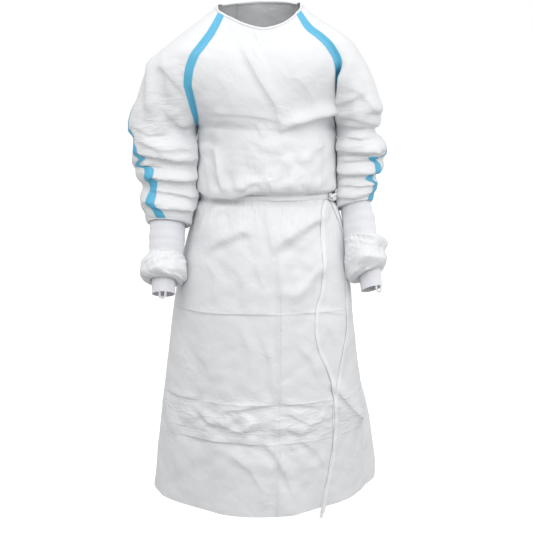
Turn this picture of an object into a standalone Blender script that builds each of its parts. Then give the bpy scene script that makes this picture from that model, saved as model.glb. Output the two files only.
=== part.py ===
"""A disposable chemotherapy gown in its worn form, hollow, as it is cut and sewn.

Metres, +Z up, the front faces -Y and the wearer's left is at +X. The origin lies between the
shoulders at the height of the neck's side points, where the wearer carries the gown. Every
cloth piece is a wall: a grid of outer points worked out from ring tables, and the same points
moved inwards by the cloth's thickness.
"""

import math
from collections import namedtuple

import bpy
import numpy as np

# Cloth and trim
CLOTH = 0.0015  # wall of the coated nonwoven, drawn a little thicker than it is
KNIT = 0.0020  # wall of the knitted bands and cuffs
TAPE = 0.0008  # thickness of the seam-sealing tape
TAPE_HALF = 0.010  # half the tape's width, on either side of a seam
LIFT = 0.0006  # how far what lies on a panel stays above it
SEAM_INSET = 0.0002  # each piece stops this far from a seam, so two are 0.4 mm apart
ARM_CLEARANCE = 0.0035  # least distance from a sleeve to the body beside it
BACK_LAP = 0.055  # how far each back panel reaches past the centre back
LAP_OUT = 0.0028  # the outer back panel stands this far out at the lap
LAP_IN = -0.0024  # and the inner one this far in

# Heights
UNDERARM_Z = -0.273
BELT_TOP_Z = -0.419
BELT_BOTTOM_Z = -0.431
BELT_Z = (BELT_TOP_Z + BELT_BOTTOM_Z) / 2
BELT_GROOVE = 0.009  # half the height of the level strip that the belt draws in
GATHER_PEAK = 0.018  # the gathers stand out most this far past the groove
HEM_Z = -1.145
CENTRE_X = 0.008  # the centre front at the neck
NECK_V_DIP, NECK_V_HALF, NECK_V_ROWS = 0.008, 0.075, 2  # the neckline's point at the front
BLOUSE_TOP_Z, BLOUSE_Z = -0.330, -0.409  # the chest sags over the belt from here to here
BLOUSE_SAG = 0.018
BLOUSE_ANGLES = (96, 118, 136, 166)  # it grows between the first two and fades between the last
LAP_DRIFT = 0.06  # a back panel drifts to its own layer over this distance from its seam
STEP_RUN = 0.008  # where a line over the lap's edge comes down to the panel below
CALM_REACH = 0.025  # folds grow from nothing to their full height over this distance
PRESS_SOFTNESS = 0.015  # how gradually a sleeve gives way, as a share of the body's size
PRESS_FADE = 0.025  # and the height below the underarm over which it begins to
HEM_GAP = 0.0012  # from a sleeve's hem to the band inside it

# Mesh density
FRONT_COLUMNS = 22
BACK_COLUMNS = 14
SLEEVE_COLUMNS = 20
SEAM_COLUMN = 9  # the sleeve's column that follows its own seam
TUBE_COLUMNS = 32
BODY_LEVELS = (
    -0.300, -0.330, -0.358, -0.380, -0.397, -0.409, BELT_TOP_Z, BELT_BOTTOM_Z, -0.446,
    -0.480, -0.522, -0.572, -0.632, -0.703, -0.785, -0.867, -0.955, -1.050, HEM_Z,
)

# The body below the underarm: the sides as X, the front and back as Y, and a squareness.
Ring = namedtuple("Ring", "z right left front back square")
BODY_RINGS = (
    Ring(UNDERARM_Z, -0.148, 0.176, -0.132, 0.116, 0.010),
    Ring(-0.325, -0.151, 0.179, -0.140, 0.115, 0.012),
    Ring(-0.369, -0.153, 0.180, -0.146, 0.114, 0.015),
    Ring(-0.392, -0.155, 0.181, -0.151, 0.116, 0.015),
    Ring(-0.409, -0.155, 0.181, -0.148, 0.114, 0.012),
    Ring(BELT_TOP_Z, -0.148, 0.175, -0.127, 0.104, 0.010),
    Ring(BELT_BOTTOM_Z, -0.148, 0.175, -0.126, 0.103, 0.010),
    Ring(-0.446, -0.155, 0.180, -0.136, 0.111, 0.012),
    Ring(-0.502, -0.169, 0.190, -0.154, 0.128, 0.020),
    Ring(-0.582, -0.189, 0.203, -0.170, 0.146, 0.025),
    Ring(-0.683, -0.208, 0.216, -0.180, 0.157, 0.025),
    Ring(-0.785, -0.221, 0.228, -0.186, 0.163, 0.010),
    Ring(-0.888, -0.233, 0.238, -0.192, 0.168, -0.015),
    Ring(-0.992, -0.244, 0.243, -0.199, 0.173, -0.050),
    Ring(HEM_Z, -0.257, 0.246, -0.207, 0.180, -0.100),
)

# The chest and the back between the raglan seams, from the neckline (0) to the underarm (9).
# An angle is how far short of the side each arc ends: 0 is a half ellipse.
Yoke = namedtuple("Yoke", "front_y front_z front_angle back_y back_z back_angle")
YOKE_ROWS = (
    Yoke(-0.092, -0.043, 50, 0.072, 0.022, 42),
    Yoke(-0.107, -0.073, 58, 0.090, -0.017, 52),
    Yoke(-0.119, -0.097, 61, 0.102, -0.051, 58),
    Yoke(-0.128, -0.123, 60, 0.110, -0.084, 58),
    Yoke(-0.134, -0.150, 56, 0.115, -0.118, 54),
    Yoke(-0.137, -0.175, 50, 0.117, -0.151, 48),
    Yoke(-0.138, -0.200, 42, 0.118, -0.183, 41),
    Yoke(-0.137, -0.224, 33, 0.118, -0.213, 33),
    Yoke(-0.135, -0.249, 22, 0.117, -0.243, 22),
    Yoke(-0.132, UNDERARM_Z, 0, 0.116, UNDERARM_Z, 0),
)

# A sleeve's sections. inner and outer are the ends of its width and half_depth is half its
# front-to-back size. lift tips a section's front edge up, and open is the angle at which the
# raglan seams cut the section's inner side: 90 is a closed tube.
Section = namedtuple("Section", "inner_x inner_z outer_x outer_z middle_y half_depth lift open")
RIGHT_SLEEVE = (
    Section(-0.090, 0.000, -0.105, 0.007, 0.005, 0.042, -16, 5),
    Section(-0.113, -0.048, -0.146, -0.024, 0.001, 0.077, -8, 10),
    Section(-0.133, -0.082, -0.185, -0.054, 0.000, 0.097, -3, 12),
    Section(-0.149, -0.110, -0.224, -0.085, 0.000, 0.107, 0, 12),
    Section(-0.160, -0.142, -0.255, -0.114, 0.000, 0.109, 0, 12),
    Section(-0.163, -0.170, -0.275, -0.158, 0.000, 0.106, 0, 15),
    Section(-0.157, -0.199, -0.290, -0.201, 0.000, 0.100, 0, 24),
    Section(-0.151, -0.226, -0.304, -0.233, 0.000, 0.095, 0, 36),
    Section(-0.147, -0.251, -0.311, -0.262, 0.000, 0.090, 1, 52),
    Section(-0.148, UNDERARM_Z, -0.311, -0.290, 0.000, 0.086, 2, 90),
    Section(-0.150, -0.300, -0.307, -0.317, -0.007, 0.083, 3, 90),
    Section(-0.149, -0.334, -0.303, -0.346, -0.014, 0.079, 5, 90),
    Section(-0.148, -0.367, -0.294, -0.376, -0.020, 0.074, 7, 90),
    Section(-0.148, -0.395, -0.280, -0.399, -0.026, 0.068, 9, 90),
    Section(-0.151, -0.421, -0.281, -0.423, -0.031, 0.066, 11, 90),
    Section(-0.158, -0.448, -0.277, -0.447, -0.038, 0.061, 14, 90),
    Section(-0.164, -0.474, -0.274, -0.470, -0.046, 0.056, 16, 90),
    Section(-0.169, -0.495, -0.264, -0.488, -0.052, 0.049, 18, 90),
    Section(-0.175, -0.489, -0.258, -0.483, -0.052, 0.043, 18, 90),
)
LEFT_SLEEVE = (
    Section(0.086, 0.003, 0.097, 0.012, 0.005, 0.042, -16, 5),
    Section(0.108, -0.032, 0.135, -0.018, 0.001, 0.073, -9, 10),
    Section(0.135, -0.059, 0.176, -0.042, 0.000, 0.094, -4, 12),
    Section(0.156, -0.088, 0.212, -0.071, 0.000, 0.105, 0, 12),
    Section(0.172, -0.118, 0.234, -0.104, 0.000, 0.108, 0, 16),
    Section(0.177, -0.151, 0.252, -0.141, 0.000, 0.106, 0, 28),
    Section(0.177, -0.185, 0.267, -0.182, 0.000, 0.100, 0, 42),
    Section(0.177, -0.217, 0.278, -0.216, 0.000, 0.094, 0, 55),
    Section(0.176, -0.246, 0.278, -0.245, 0.000, 0.088, 1, 68),
    Section(0.176, UNDERARM_Z, 0.270, -0.274, 0.000, 0.080, 2, 90),
    Section(0.178, -0.297, 0.284, -0.295, -0.002, 0.077, 3, 90),
    Section(0.180, -0.325, 0.294, -0.323, -0.005, 0.074, 4, 90),
    Section(0.181, -0.352, 0.289, -0.350, -0.008, 0.070, 6, 90),
    Section(0.181, -0.378, 0.276, -0.376, -0.011, 0.065, 8, 90),
    Section(0.181, -0.403, 0.273, -0.398, -0.014, 0.062, 10, 90),
    Section(0.180, -0.428, 0.267, -0.418, -0.018, 0.058, 12, 90),
    Section(0.180, -0.446, 0.265, -0.431, -0.022, 0.053, 14, 90),
    Section(0.181, -0.458, 0.259, -0.440, -0.026, 0.047, 16, 90),
    Section(0.186, -0.453, 0.254, -0.435, -0.026, 0.042, 16, 90),
)
UNDERARM_ROW = 9
SLEEVE_ROWS = (*range(UNDERARM_ROW), *(UNDERARM_ROW + step / 2 for step in range(17)), 18)

# Below the sleeve's hem: the knitted forearm band, the gathered lower sleeve and the cuff.
# Each begins on the last section of the piece above it.
RIGHT_BAND = (
    Section(-0.176, -0.527, -0.259, -0.520, -0.065, 0.0415, 19, 90),
    Section(-0.179, -0.558, -0.258, -0.553, -0.076, 0.0390, 20, 90),
)
RIGHT_PUFF = (
    Section(-0.175, -0.566, -0.266, -0.562, -0.078, 0.0450, 20, 90),
    Section(-0.169, -0.583, -0.279, -0.581, -0.084, 0.0530, 20, 90),
    Section(-0.168, -0.601, -0.279, -0.601, -0.091, 0.0550, 21, 90),
    Section(-0.172, -0.618, -0.269, -0.620, -0.097, 0.0470, 22, 90),
    Section(-0.186, -0.624, -0.259, -0.626, -0.100, 0.0360, 23, 90),
    Section(-0.196, -0.614, -0.252, -0.614, -0.097, 0.0275, 24, 90),
)
RIGHT_CUFF = (Section(-0.197, -0.646, -0.250, -0.646, -0.109, 0.0265, 24, 90),)
LEFT_BAND = (
    Section(0.188, -0.491, 0.267, -0.479, -0.039, 0.0412, 18, 90),
    Section(0.192, -0.524, 0.269, -0.513, -0.051, 0.0390, 19, 90),
)
LEFT_PUFF = (
    Section(0.191, -0.533, 0.281, -0.520, -0.055, 0.0450, 20, 90),
    Section(0.192, -0.556, 0.291, -0.541, -0.062, 0.0530, 20, 90),
    Section(0.193, -0.587, 0.290, -0.570, -0.071, 0.0540, 21, 90),
    Section(0.199, -0.616, 0.284, -0.595, -0.079, 0.0470, 22, 90),
    Section(0.212, -0.625, 0.280, -0.601, -0.082, 0.0355, 23, 90),
    Section(0.228, -0.613, 0.278, -0.593, -0.079, 0.0265, 24, 90),
)
LEFT_CUFF = (Section(0.232, -0.642, 0.280, -0.631, -0.092, 0.0255, 24, 90),)

# Where a sleeve's sealed seam runs, by row: its angle round the section, from the front (0)
# over the outer side (90) to the back (180).
RIGHT_SEAM_ANGLES = {4: 168, 5: 135, 6: 104, 7: 80, 8: 62, 9: 50, 11: 42, 13: 38, 15: 30, 17: 16}
LEFT_SEAM_ANGLES = {4: 168, 5: 150, 6: 132, 7: 118, 8: 108, 9: 98, 11: 84, 13: 68, 15: 60, 17: 56}
SEAM_TAPE_ROWS = (5, len(SLEEVE_ROWS) - 1)  # the sleeve tape's first row and the one past its last
LOWER_ARMS = {
    "right": (RIGHT_SLEEVE, RIGHT_BAND, RIGHT_PUFF, RIGHT_CUFF),
    "left": (LEFT_SLEEVE, LEFT_BAND, LEFT_PUFF, LEFT_CUFF),
}
ARM_PIECES = ("sleeve", "forearm_band", "lower_sleeve", "cuff")
# Grids whose columns run the other way round the body are flipped to face outwards
FLIPPED = {"front": True, "back_right": False, "back_left": False}
FLIPPED |= {f"{piece}_{side}": side == "left" for piece in ARM_PIECES for side in LOWER_ARMS}

# Gathers round the lower sleeves
GATHER_COUNT = 8
GATHER_HEIGHT = 0.0009
GATHER_DRIFT = 0.35  # radians that the gathers turn from one section to the next

# The largest folds, placed as seen from the front or the back: from (x0, z0) to (x1, z1),
# half as wide as width says on each side, and standing out by height, or in where negative.
Fold = namedtuple("Fold", "x0 z0 x1 z1 width height")
FRONT_FOLDS = (
    Fold(0.069, -0.249, 0.181, -0.220, 0.016, 0.006),  # chest blousing over, lower edge
    Fold(0.060, -0.282, 0.182, -0.259, 0.020, -0.006),  # hollow under it
    Fold(-0.124, -0.286, -0.102, -0.409, 0.018, -0.008),  # hollow beside the right sleeve
    Fold(-0.097, -0.306, -0.080, -0.414, 0.012, 0.004),
    Fold(0.099, -0.325, 0.109, -0.414, 0.014, 0.004),
    Fold(0.133, -0.315, 0.144, -0.414, 0.014, -0.004),
    Fold(-0.148, -0.483, -0.049, -0.523, 0.030, 0.004),  # hip, bulging over both thighs
    Fold(0.050, -0.503, 0.149, -0.463, 0.030, 0.004),
    Fold(0.137, -0.453, 0.131, -0.684, 0.016, -0.005),  # fall below the knot
    Fold(0.169, -0.463, 0.197, -0.786, 0.022, 0.006),
    Fold(0.061, -0.643, 0.150, -0.543, 0.022, 0.005),
    Fold(-0.160, -0.684, -0.133, -1.148, 0.030, -0.005),
    Fold(0.168, -0.890, 0.250, -0.979, 0.016, 0.006),  # slanting fold to the left side
    Fold(0.021, -1.005, 0.077, -1.148, 0.022, 0.004),
)
BACK_FOLDS = (
    Fold(-0.087, -0.286, -0.073, -0.414, 0.018, 0.005),
    Fold(0.094, -0.277, 0.109, -0.414, 0.018, 0.005),
    Fold(-0.128, -0.483, -0.154, -1.148, 0.030, 0.008),
    Fold(-0.068, -0.463, -0.082, -1.148, 0.026, -0.006),
    Fold(0.075, -0.463, 0.093, -1.148, 0.026, -0.006),
    Fold(0.139, -0.483, 0.170, -1.148, 0.030, 0.008),
)
SLEEVE_FOLDS = {
    "right": (
        Fold(-0.253, -0.102, -0.251, -0.223, 0.014, 0.006),  # peak at the shoulder's corner
        Fold(-0.232, -0.142, -0.216, -0.238, 0.016, -0.005),
        Fold(-0.293, -0.286, -0.171, -0.330, 0.018, 0.005),
        Fold(-0.294, -0.362, -0.151, -0.351, 0.012, -0.007),  # rolls at the elbow
        Fold(-0.285, -0.384, -0.152, -0.376, 0.012, 0.005),
        Fold(-0.285, -0.405, -0.157, -0.404, 0.011, -0.007),
        Fold(-0.285, -0.435, -0.162, -0.443, 0.016, 0.005),
        Fold(-0.286, -0.467, -0.167, -0.477, 0.010, -0.004),
    ),
    "left": (
        Fold(0.238, -0.113, 0.256, -0.223, 0.016, 0.004),
        Fold(0.186, -0.238, 0.284, -0.214, 0.014, 0.005),
        Fold(0.187, -0.278, 0.280, -0.271, 0.014, -0.007),  # rolls at the elbow
        Fold(0.187, -0.308, 0.295, -0.304, 0.013, 0.005),
        Fold(0.187, -0.335, 0.295, -0.341, 0.010, -0.006),
        Fold(0.188, -0.362, 0.286, -0.358, 0.011, 0.005),
        Fold(0.188, -0.388, 0.286, -0.380, 0.010, -0.006),
        Fold(0.188, -0.418, 0.277, -0.404, 0.012, 0.004),
    ),
}

# Waves that the skirt's flare makes: the angle round the ring (0 at the wearer's left, 90 in
# front, 270 behind), the wave's half width, the height where it starts and its size at the hem.
Wave = namedtuple("Wave", "angle half_width start_z height")
SKIRT_WAVES = (
    Wave(-28, 17, -0.700, 0.085),
    Wave(14, 9, -0.836, -0.004),
    Wave(194, 14, -0.785, 0.012),
    Wave(168, 10, -0.888, -0.004),
    Wave(232, 16, -0.582, 0.014),
    Wave(252, 11, -0.582, -0.008),
    Wave(292, 12, -0.582, -0.010),
    Wave(312, 14, -0.582, 0.006),
)

# Gathers that the belt draws in: the angle round the ring, half width and height.
Gather = namedtuple("Gather", "angle half_width height")
BELT_GATHERS = (
    Gather(22, 7, 0.0045),
    Gather(44, 7, 0.0035),
    Gather(66, 8, 0.0030),
    Gather(112, 8, 0.0030),
    Gather(134, 7, 0.0040),
    Gather(156, 7, 0.0045),
    Gather(205, 9, 0.0045),
    Gather(232, 9, 0.0045),
    Gather(308, 9, 0.0045),
    Gather(335, 9, 0.0045),
)

# Belt, knot and ties
BELT_THICKNESS = 0.0012
BELT_WIDTH = 0.0105
TIE_WIDTH = 0.0100
TIE_THICKNESS = 0.0010
KNOT_ANGLE = 27  # round the waist from the wearer's left side
KNOT_SIZE = (0.013, 0.0075, 0.0095)  # half sizes: along the belt, out from it, and up
KNOT_LEVELS, KNOT_TURNS = 7, 12
TIE_STEPS = 44

# The two ties' routes down the skirt: the X seen from the front at each height, and how far
# out from the cloth the tie lies there.
TiePoint = namedtuple("TiePoint", "x z out")
LONG_TIE = (
    TiePoint(0.163, -0.4362, 0.0045),
    TiePoint(0.173, -0.458, 0.0020),
    TiePoint(0.189, -0.503, 0.0010),
    TiePoint(0.195, -0.543, 0.0010),
    TiePoint(0.198, -0.603, 0.0010),
    TiePoint(0.199, -0.664, 0.0010),
    TiePoint(0.201, -0.725, 0.0010),
    TiePoint(0.192, -0.776, 0.0010),
    TiePoint(0.182, -0.838, 0.0010),
    TiePoint(0.175, -0.874, 0.0010),
    TiePoint(0.171, -0.921, 0.0010),
    TiePoint(0.171, -0.994, 0.0010),
    TiePoint(0.164, -1.037, 0.0010),
    TiePoint(0.150, -1.111, 0.0010),
    TiePoint(0.142, -1.154, 0.0010),
    TiePoint(0.139, -1.169, 0.0010),
)
SHORT_TIE = (
    TiePoint(0.150, -0.4352, 0.0045),
    TiePoint(0.142, -0.460, 0.0020),
    TiePoint(0.141, -0.523, 0.0010),
    TiePoint(0.146, -0.573, 0.0010),
    TiePoint(0.141, -0.633, 0.0010),
    TiePoint(0.129, -0.684, 0.0010),
    TiePoint(0.127, -0.725, 0.0010),
    TiePoint(0.135, -0.766, 0.0010),
    TiePoint(0.152, -0.807, 0.0010),
    TiePoint(0.166, -0.853, 0.0028),
    TiePoint(0.175, -0.895, 0.0032),
    TiePoint(0.176, -0.952, 0.0032),
    TiePoint(0.175, -1.016, 0.0032),
    TiePoint(0.164, -1.074, 0.0032),
    TiePoint(0.153, -1.132, 0.0032),
    TiePoint(0.147, -1.161, 0.0032),
)

# Thumb loops: half width, drop below the cuff's edge and the elastic's width and thickness
LOOP_HALF = 0.0080
LOOP_DROP = 0.0150
LOOP_ELASTIC = (0.0046, 0.0014)
LOOP_STEPS = 11
LOOP_GAP = 0.0007  # from the cuff's edge to the loop's ends
LOOP_ANGLES = {"right": 0, "left": 40}  # round the cuff from its front, towards the outer side

# Neck binding and the tab that closes the neck behind
BINDING_HEIGHT = 0.0070
BINDING_THICKNESS = 0.0026
BINDING_STEP = 0.004  # least distance between the binding's points
BINDING_GAP = 0.0006  # from the neckline's edge to the binding on it
TAB_THICKNESS, TAB_LIFT = 0.0012, 0.0008
NECK_TAB_HALF = 0.024  # the tab's half length round the neck
NECK_TAB_ROWS = (0.08, 0.62)  # from and to, in rows below the neckline

WHITE_CLOTH = ("nonwoven_cloth", (0.86, 0.87, 0.88), 0.62)
WHITE_KNIT = ("knit", (0.84, 0.85, 0.89), 0.85)
BLUE_TAPE = ("seam_tape", (0.10, 0.47, 0.68), 0.50)
WHITE_TIE = ("tie_fabric", (0.88, 0.88, 0.89), 0.60)


# Tables and curves


def slopes(knots, values):
    """Slopes that keep a curve monotone between its knots, so it never overshoots them."""
    steps = np.diff(knots)
    rises = np.diff(values) / steps
    inner = np.zeros(len(knots))
    same_way = rises[:-1] * rises[1:] > 0
    total = np.where(same_way, rises[:-1] + rises[1:], 1.0)
    inner[1:-1] = np.where(same_way, 2 * rises[:-1] * rises[1:] / total, 0.0)
    inner[0], inner[-1] = rises[0], rises[-1]
    return inner


def curve(knots, values, at):
    """The smooth curve through (knots, values), read at any numbers."""
    knots, values = np.asarray(knots, float), np.asarray(values, float)
    if knots[0] > knots[-1]:
        knots, values = knots[::-1], values[::-1]
    slope = slopes(knots, values)
    at = np.clip(np.asarray(at, float), knots[0], knots[-1])
    i = np.clip(np.searchsorted(knots, at) - 1, 0, len(knots) - 2)
    span = knots[i + 1] - knots[i]
    t = (at - knots[i]) / span
    return (
        (1 + 2 * t) * (1 - t) ** 2 * values[i]
        + t * (1 - t) ** 2 * span * slope[i]
        + t * t * (3 - 2 * t) * values[i + 1]
        + t * t * (t - 1) * span * slope[i + 1]
    )


def column(table, name):
    return np.array([getattr(row, name) for row in table])


def ease(t):
    """0 below 0, 1 above 1 and a smooth step between."""
    t = np.clip(t, 0.0, 1.0)
    return t * t * (3 - 2 * t)


def unit(vectors):
    return vectors / np.maximum(np.linalg.norm(vectors, axis=-1, keepdims=True), 1e-12)


# Body below the underarm


def ring_values(z):
    """The body ring's centre X, half width, front and back depth and squareness at a height."""
    heights = column(BODY_RINGS, "z")
    right, left, front, back, square = (
        curve(heights, column(BODY_RINGS, name), z)
        for name in ("right", "left", "front", "back", "square")
    )
    return (right + left) / 2, (left - right) / 2, -front, back, square


def angle_gap(angle, centre):
    """Degrees from a wave's centre, the short way round."""
    return (np.degrees(angle) - centre + 180) % 360 - 180


def ring_relief(angle, z):
    """How far the skirt's waves and the belt's gathers stand out from the plain ring."""
    out = np.zeros(np.broadcast(angle, z).shape)
    for wave in SKIRT_WAVES:
        grown = ease((wave.start_z - z) / (wave.start_z - HEM_Z))
        out += wave.height * grown * np.exp(-((angle_gap(angle, wave.angle) / wave.half_width) ** 2))
    away = np.maximum(np.abs(z - BELT_Z) - BELT_GROOVE, 0) / GATHER_PEAK
    for gather in BELT_GATHERS:
        near = away * np.exp(1 - away)
        out += gather.height * near * np.exp(-((angle_gap(angle, gather.angle) / gather.half_width) ** 2))
    return out


def blouse_sag(angle, z):
    """How far the chest hangs down over the belt, at the wearer's right."""
    start, full, fading, gone = BLOUSE_ANGLES
    turn = np.degrees(angle) % 360
    round_it = ease((turn - start) / (full - start)) * ease((gone - turn) / (gone - fading))
    above = ease((BLOUSE_TOP_Z - z) / (BLOUSE_TOP_Z - BLOUSE_Z))
    below = np.clip((z - BELT_TOP_Z) / (BLOUSE_Z - BELT_TOP_Z), 0, 1)
    return BLOUSE_SAG * round_it * above * below


def body_ring(angle, z):
    """Points of the body ring: an ellipse with its own front and back depth, squared a little."""
    centre, half, front, back, square = ring_values(z)
    cosine, sine = np.cos(angle), np.sin(angle)
    grow = 1 + square * np.sin(2 * angle) ** 2
    x = half * cosine * grow
    y = -np.where(sine > 0, front, back) * sine * grow
    stretch = 1 + ring_relief(angle, z) / np.hypot(x, y)
    return np.stack([centre + x * stretch, y * stretch, z - blouse_sag(angle, z)], -1)


# Sleeves


def section_values(table, row):
    """Centre, outward half axis and front half axis of a sleeve section, and its open angle."""
    rows = np.arange(len(table))
    at = {name: curve(rows, column(table, name), row) for name in Section._fields}
    opened, tipped = np.radians(at["open"]), np.radians(at["lift"])
    outer = np.stack([at["outer_x"], at["middle_y"], at["outer_z"]], -1)
    inner = np.stack([at["inner_x"], at["middle_y"], at["inner_z"]], -1)
    outward = (outer - inner) / (1 + np.sin(opened))[..., None]
    front = np.stack([0 * tipped, -np.cos(tipped), np.sin(tipped)], -1) * at["half_depth"][..., None]
    return outer - outward, outward, front, opened


def section_point(table, row, angle):
    """A point of a sleeve section: its centre, plus its front and outward half axes."""
    centre, outward, front, _ = section_values(table, np.asarray(row, float))
    angle = np.asarray(angle)[..., None]
    return centre + front * np.cos(angle) + outward * np.sin(angle)


def raglan_end(table, row, front):
    """Where a sleeve's section ends, at the front or the back raglan seam."""
    opened = section_values(table, np.asarray(row, float))[3]
    return section_point(table, row, -opened if front else math.pi + opened)


def pressed_clear(points):
    """Moves a sleeve's points out of the body beside them, as cloth gives way to cloth."""
    x, y, z = points[..., 0], points[..., 1], points[..., 2]
    centre, half, front, back, square = ring_values(z)
    depth = np.where(y < 0, front, back)
    angle = np.arctan2(-y / depth, (x - centre) / half)
    plain = np.hypot((x - centre) / half, y / depth) / (1 + square * np.sin(2 * angle) ** 2)
    beside = np.stack([centre + (x - centre) / plain, y / plain, z], -1)
    folds = fold_height(beside, FRONT_FOLDS if np.mean(y) < 0 else BACK_FOLDS)
    share = plain / (1 + (ring_relief(angle, z) + np.maximum(folds, 0)) / half)
    least = 1 + ARM_CLEARANCE / np.minimum(half, depth)
    away = least + PRESS_SOFTNESS * np.log1p(np.exp(np.minimum((share - least) / PRESS_SOFTNESS, 60)))
    scale = 1 + ease((UNDERARM_Z - z) / PRESS_FADE) * (away / share - 1)
    return np.stack([centre + (x - centre) * scale, y * scale, z], -1)


# Chest and back above the underarm


def yoke_arc(right_end, left_end, middle, short_of_side, along, square):
    """The elliptical arc from one raglan seam to the other through its middle point.

    It spans from short_of_side to 180 degrees less that, and its half axes follow from the
    two ends and the middle.
    """
    ends_centre = (right_end + left_end) / 2
    across = (left_end - right_end) / 2 / math.cos(short_of_side)
    out = (middle - ends_centre) / (1 - math.sin(short_of_side))
    centre = ends_centre - out * math.sin(short_of_side)
    angle = math.pi - short_of_side - along * (math.pi - 2 * short_of_side)
    grow = 1 + square * np.sin(2 * math.pi * along) ** 2
    return centre + grow * (across * np.cos(angle) + out * np.sin(angle))


def yoke_row(row, along, front):
    """Points of one row between the raglan seams, along running from the wearer's right."""
    rows = np.arange(len(YOKE_ROWS))
    side = "front" if front else "back"
    y, z, angle = (
        float(curve(rows, column(YOKE_ROWS, f"{side}_{name}"), row)) for name in ("y", "z", "angle")
    )
    ring_centre, square = float(ring_values(UNDERARM_Z)[0]), float(ring_values(UNDERARM_Z)[4])
    share = row / UNDERARM_ROW
    middle = np.array([CENTRE_X + (ring_centre - CENTRE_X) * share, y, z])
    ends = [raglan_end(table, row, front) for table in (RIGHT_SLEEVE, LEFT_SLEEVE)]
    arc = yoke_arc(ends[0], ends[1], middle, math.radians(angle), along[:, None], square * ease(share))
    if front:
        point = np.maximum(1 - np.abs(arc[:, 0] - CENTRE_X) / NECK_V_HALF, 0)
        arc[:, 2] -= NECK_V_DIP * max(1 - row / NECK_V_ROWS, 0) * point
    return arc


# Grids: rows run downwards, columns round the body


def length_along(points):
    return np.concatenate([[0], np.cumsum(np.linalg.norm(np.diff(points, axis=0), axis=1))])


def read_at(points_at, stops):
    """One row's points at given distances along it, where points_at takes shares of 0 to 1."""
    fine = np.linspace(0, 1, 161)
    run = length_along(points_at(fine))
    return points_at(np.interp(stops(run[-1]), run, fine))


def body_rows(front):
    """Each row's own function of a share from the wearer's right side to the left."""
    rows = [lambda s, r=r: yoke_row(r, s, front) for r in range(UNDERARM_ROW)]
    turn = (lambda s: math.pi * (1 - s)) if front else (lambda s: math.pi * (1 + s))
    levels = (UNDERARM_Z, *BODY_LEVELS)
    return rows + [lambda s, z=z: body_ring(turn(s), np.full(s.shape, z)) for z in levels]


def front_grid():
    def stops(length):
        inner = np.linspace(TAPE_HALF, length - TAPE_HALF, FRONT_COLUMNS - 1)
        return np.concatenate([[0], inner, [length]])

    return np.array([read_at(row, stops) for row in body_rows(True)])


def back_grid(wearer_left):
    """A back panel, from its side seam to its free edge past the centre back."""

    def stops(length):
        inner = np.linspace(TAPE_HALF, length / 2 + BACK_LAP, BACK_COLUMNS)
        from_side = np.concatenate([[0], inner])
        return length - from_side[::-1] if wearer_left else from_side

    return np.array([read_at(row, stops) for row in body_rows(False)])


def sleeve_grid(table, seam_angles):
    """Sleeve rows, with columns that follow both raglan seams' tape and the sleeve's own."""
    knots = sorted(seam_angles)
    rows = []
    for row in SLEEVE_ROWS:
        opened = float(section_values(table, np.array([float(row)]))[3][0])
        seam = math.radians(float(curve(knots, [seam_angles[k] for k in knots], row)))

        def points_at(share, row=row, opened=opened):
            angle = -opened + share * (math.pi + 2 * opened)
            return section_point(table, np.full(share.shape, float(row)), angle)

        def stops(length, opened=opened, seam=seam, points_at=points_at):
            fine = np.linspace(0, 1, 161)
            share = (seam + opened) / (math.pi + 2 * opened)
            middle = float(np.interp(share, fine, length_along(points_at(fine))))
            half = min(TAPE_HALF, length / 9)
            middle = min(max(middle, 3 * half), length - 3 * half)
            before = np.linspace(half, middle - half, SEAM_COLUMN - 1)
            after = np.linspace(middle + half, length - half, SLEEVE_COLUMNS - SEAM_COLUMN - 1)
            return np.concatenate([[0], before, [middle], after, [length]])

        rows.append(read_at(points_at, stops))
    return np.array(rows)


def tube_grid(sections, gathers):
    """A closed tube through its sections, with gathers of that height round its widest part."""
    angle = np.linspace(-math.pi / 2, 3 * math.pi / 2, TUBE_COLUMNS + 1)
    rows = []
    for row in range(len(sections)):
        centre, outward, front, _ = section_values(sections, np.full(angle.shape, float(row)))
        swell = math.sin(math.pi * row / (len(sections) - 1)) * gathers
        wave = swell * np.sin(GATHER_COUNT * angle + row * GATHER_DRIFT)[:, None]
        plain = front * np.cos(angle)[:, None] + outward * np.sin(angle)[:, None]
        rows.append(centre + plain + unit(plain) * wave)
    grid = np.array(rows)
    grid[:, -1] = grid[:, 0]
    return grid


# Folds


def fold_height(points, folds):
    """Folds as seen along Y: a soft ridge or trough along each line, tapering at its ends."""
    x, z = points[..., 0], points[..., 2]
    height = np.zeros(x.shape)
    for fold in folds:
        run_x, run_z = fold.x1 - fold.x0, fold.z1 - fold.z0
        length = math.hypot(run_x, run_z)
        along = ((x - fold.x0) * run_x + (z - fold.z0) * run_z) / length**2
        aside = ((x - fold.x0) * run_z - (z - fold.z0) * run_x) / length
        taper = ease((along + 0.15) / 0.3) * ease((1.15 - along) / 0.3)
        height += fold.height * taper * np.exp(-((aside / fold.width) ** 2))
    return height


def row_runs(grid):
    """How far each point lies along its row."""
    steps = np.linalg.norm(np.diff(grid, axis=1), axis=2)
    return np.concatenate([np.zeros((len(grid), 1)), np.cumsum(steps, axis=1)], axis=1)


def seam_calm(grid, start, end, closed_from=None):
    """0 under a seam's tape at the named edges, growing to 1 where folds are free."""
    run = row_runs(grid)
    calm = np.ones(run.shape)
    if start:
        calm *= ease((run - TAPE_HALF) / CALM_REACH)
    if end:
        calm *= ease((run[:, -1:] - run - TAPE_HALF) / CALM_REACH)
    if closed_from is not None:
        freed = ease((np.arange(len(grid)) - closed_from) / 4)[:, None]
        calm = 1 - (1 - calm) * (1 - freed)
    return calm


def belt_calm(grid):
    """0 under the belt, where the cloth is held, and 1 away from it."""
    return ease((np.abs(grid[..., 2] - BELT_Z) - BELT_GROOVE) / CALM_REACH)


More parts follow.
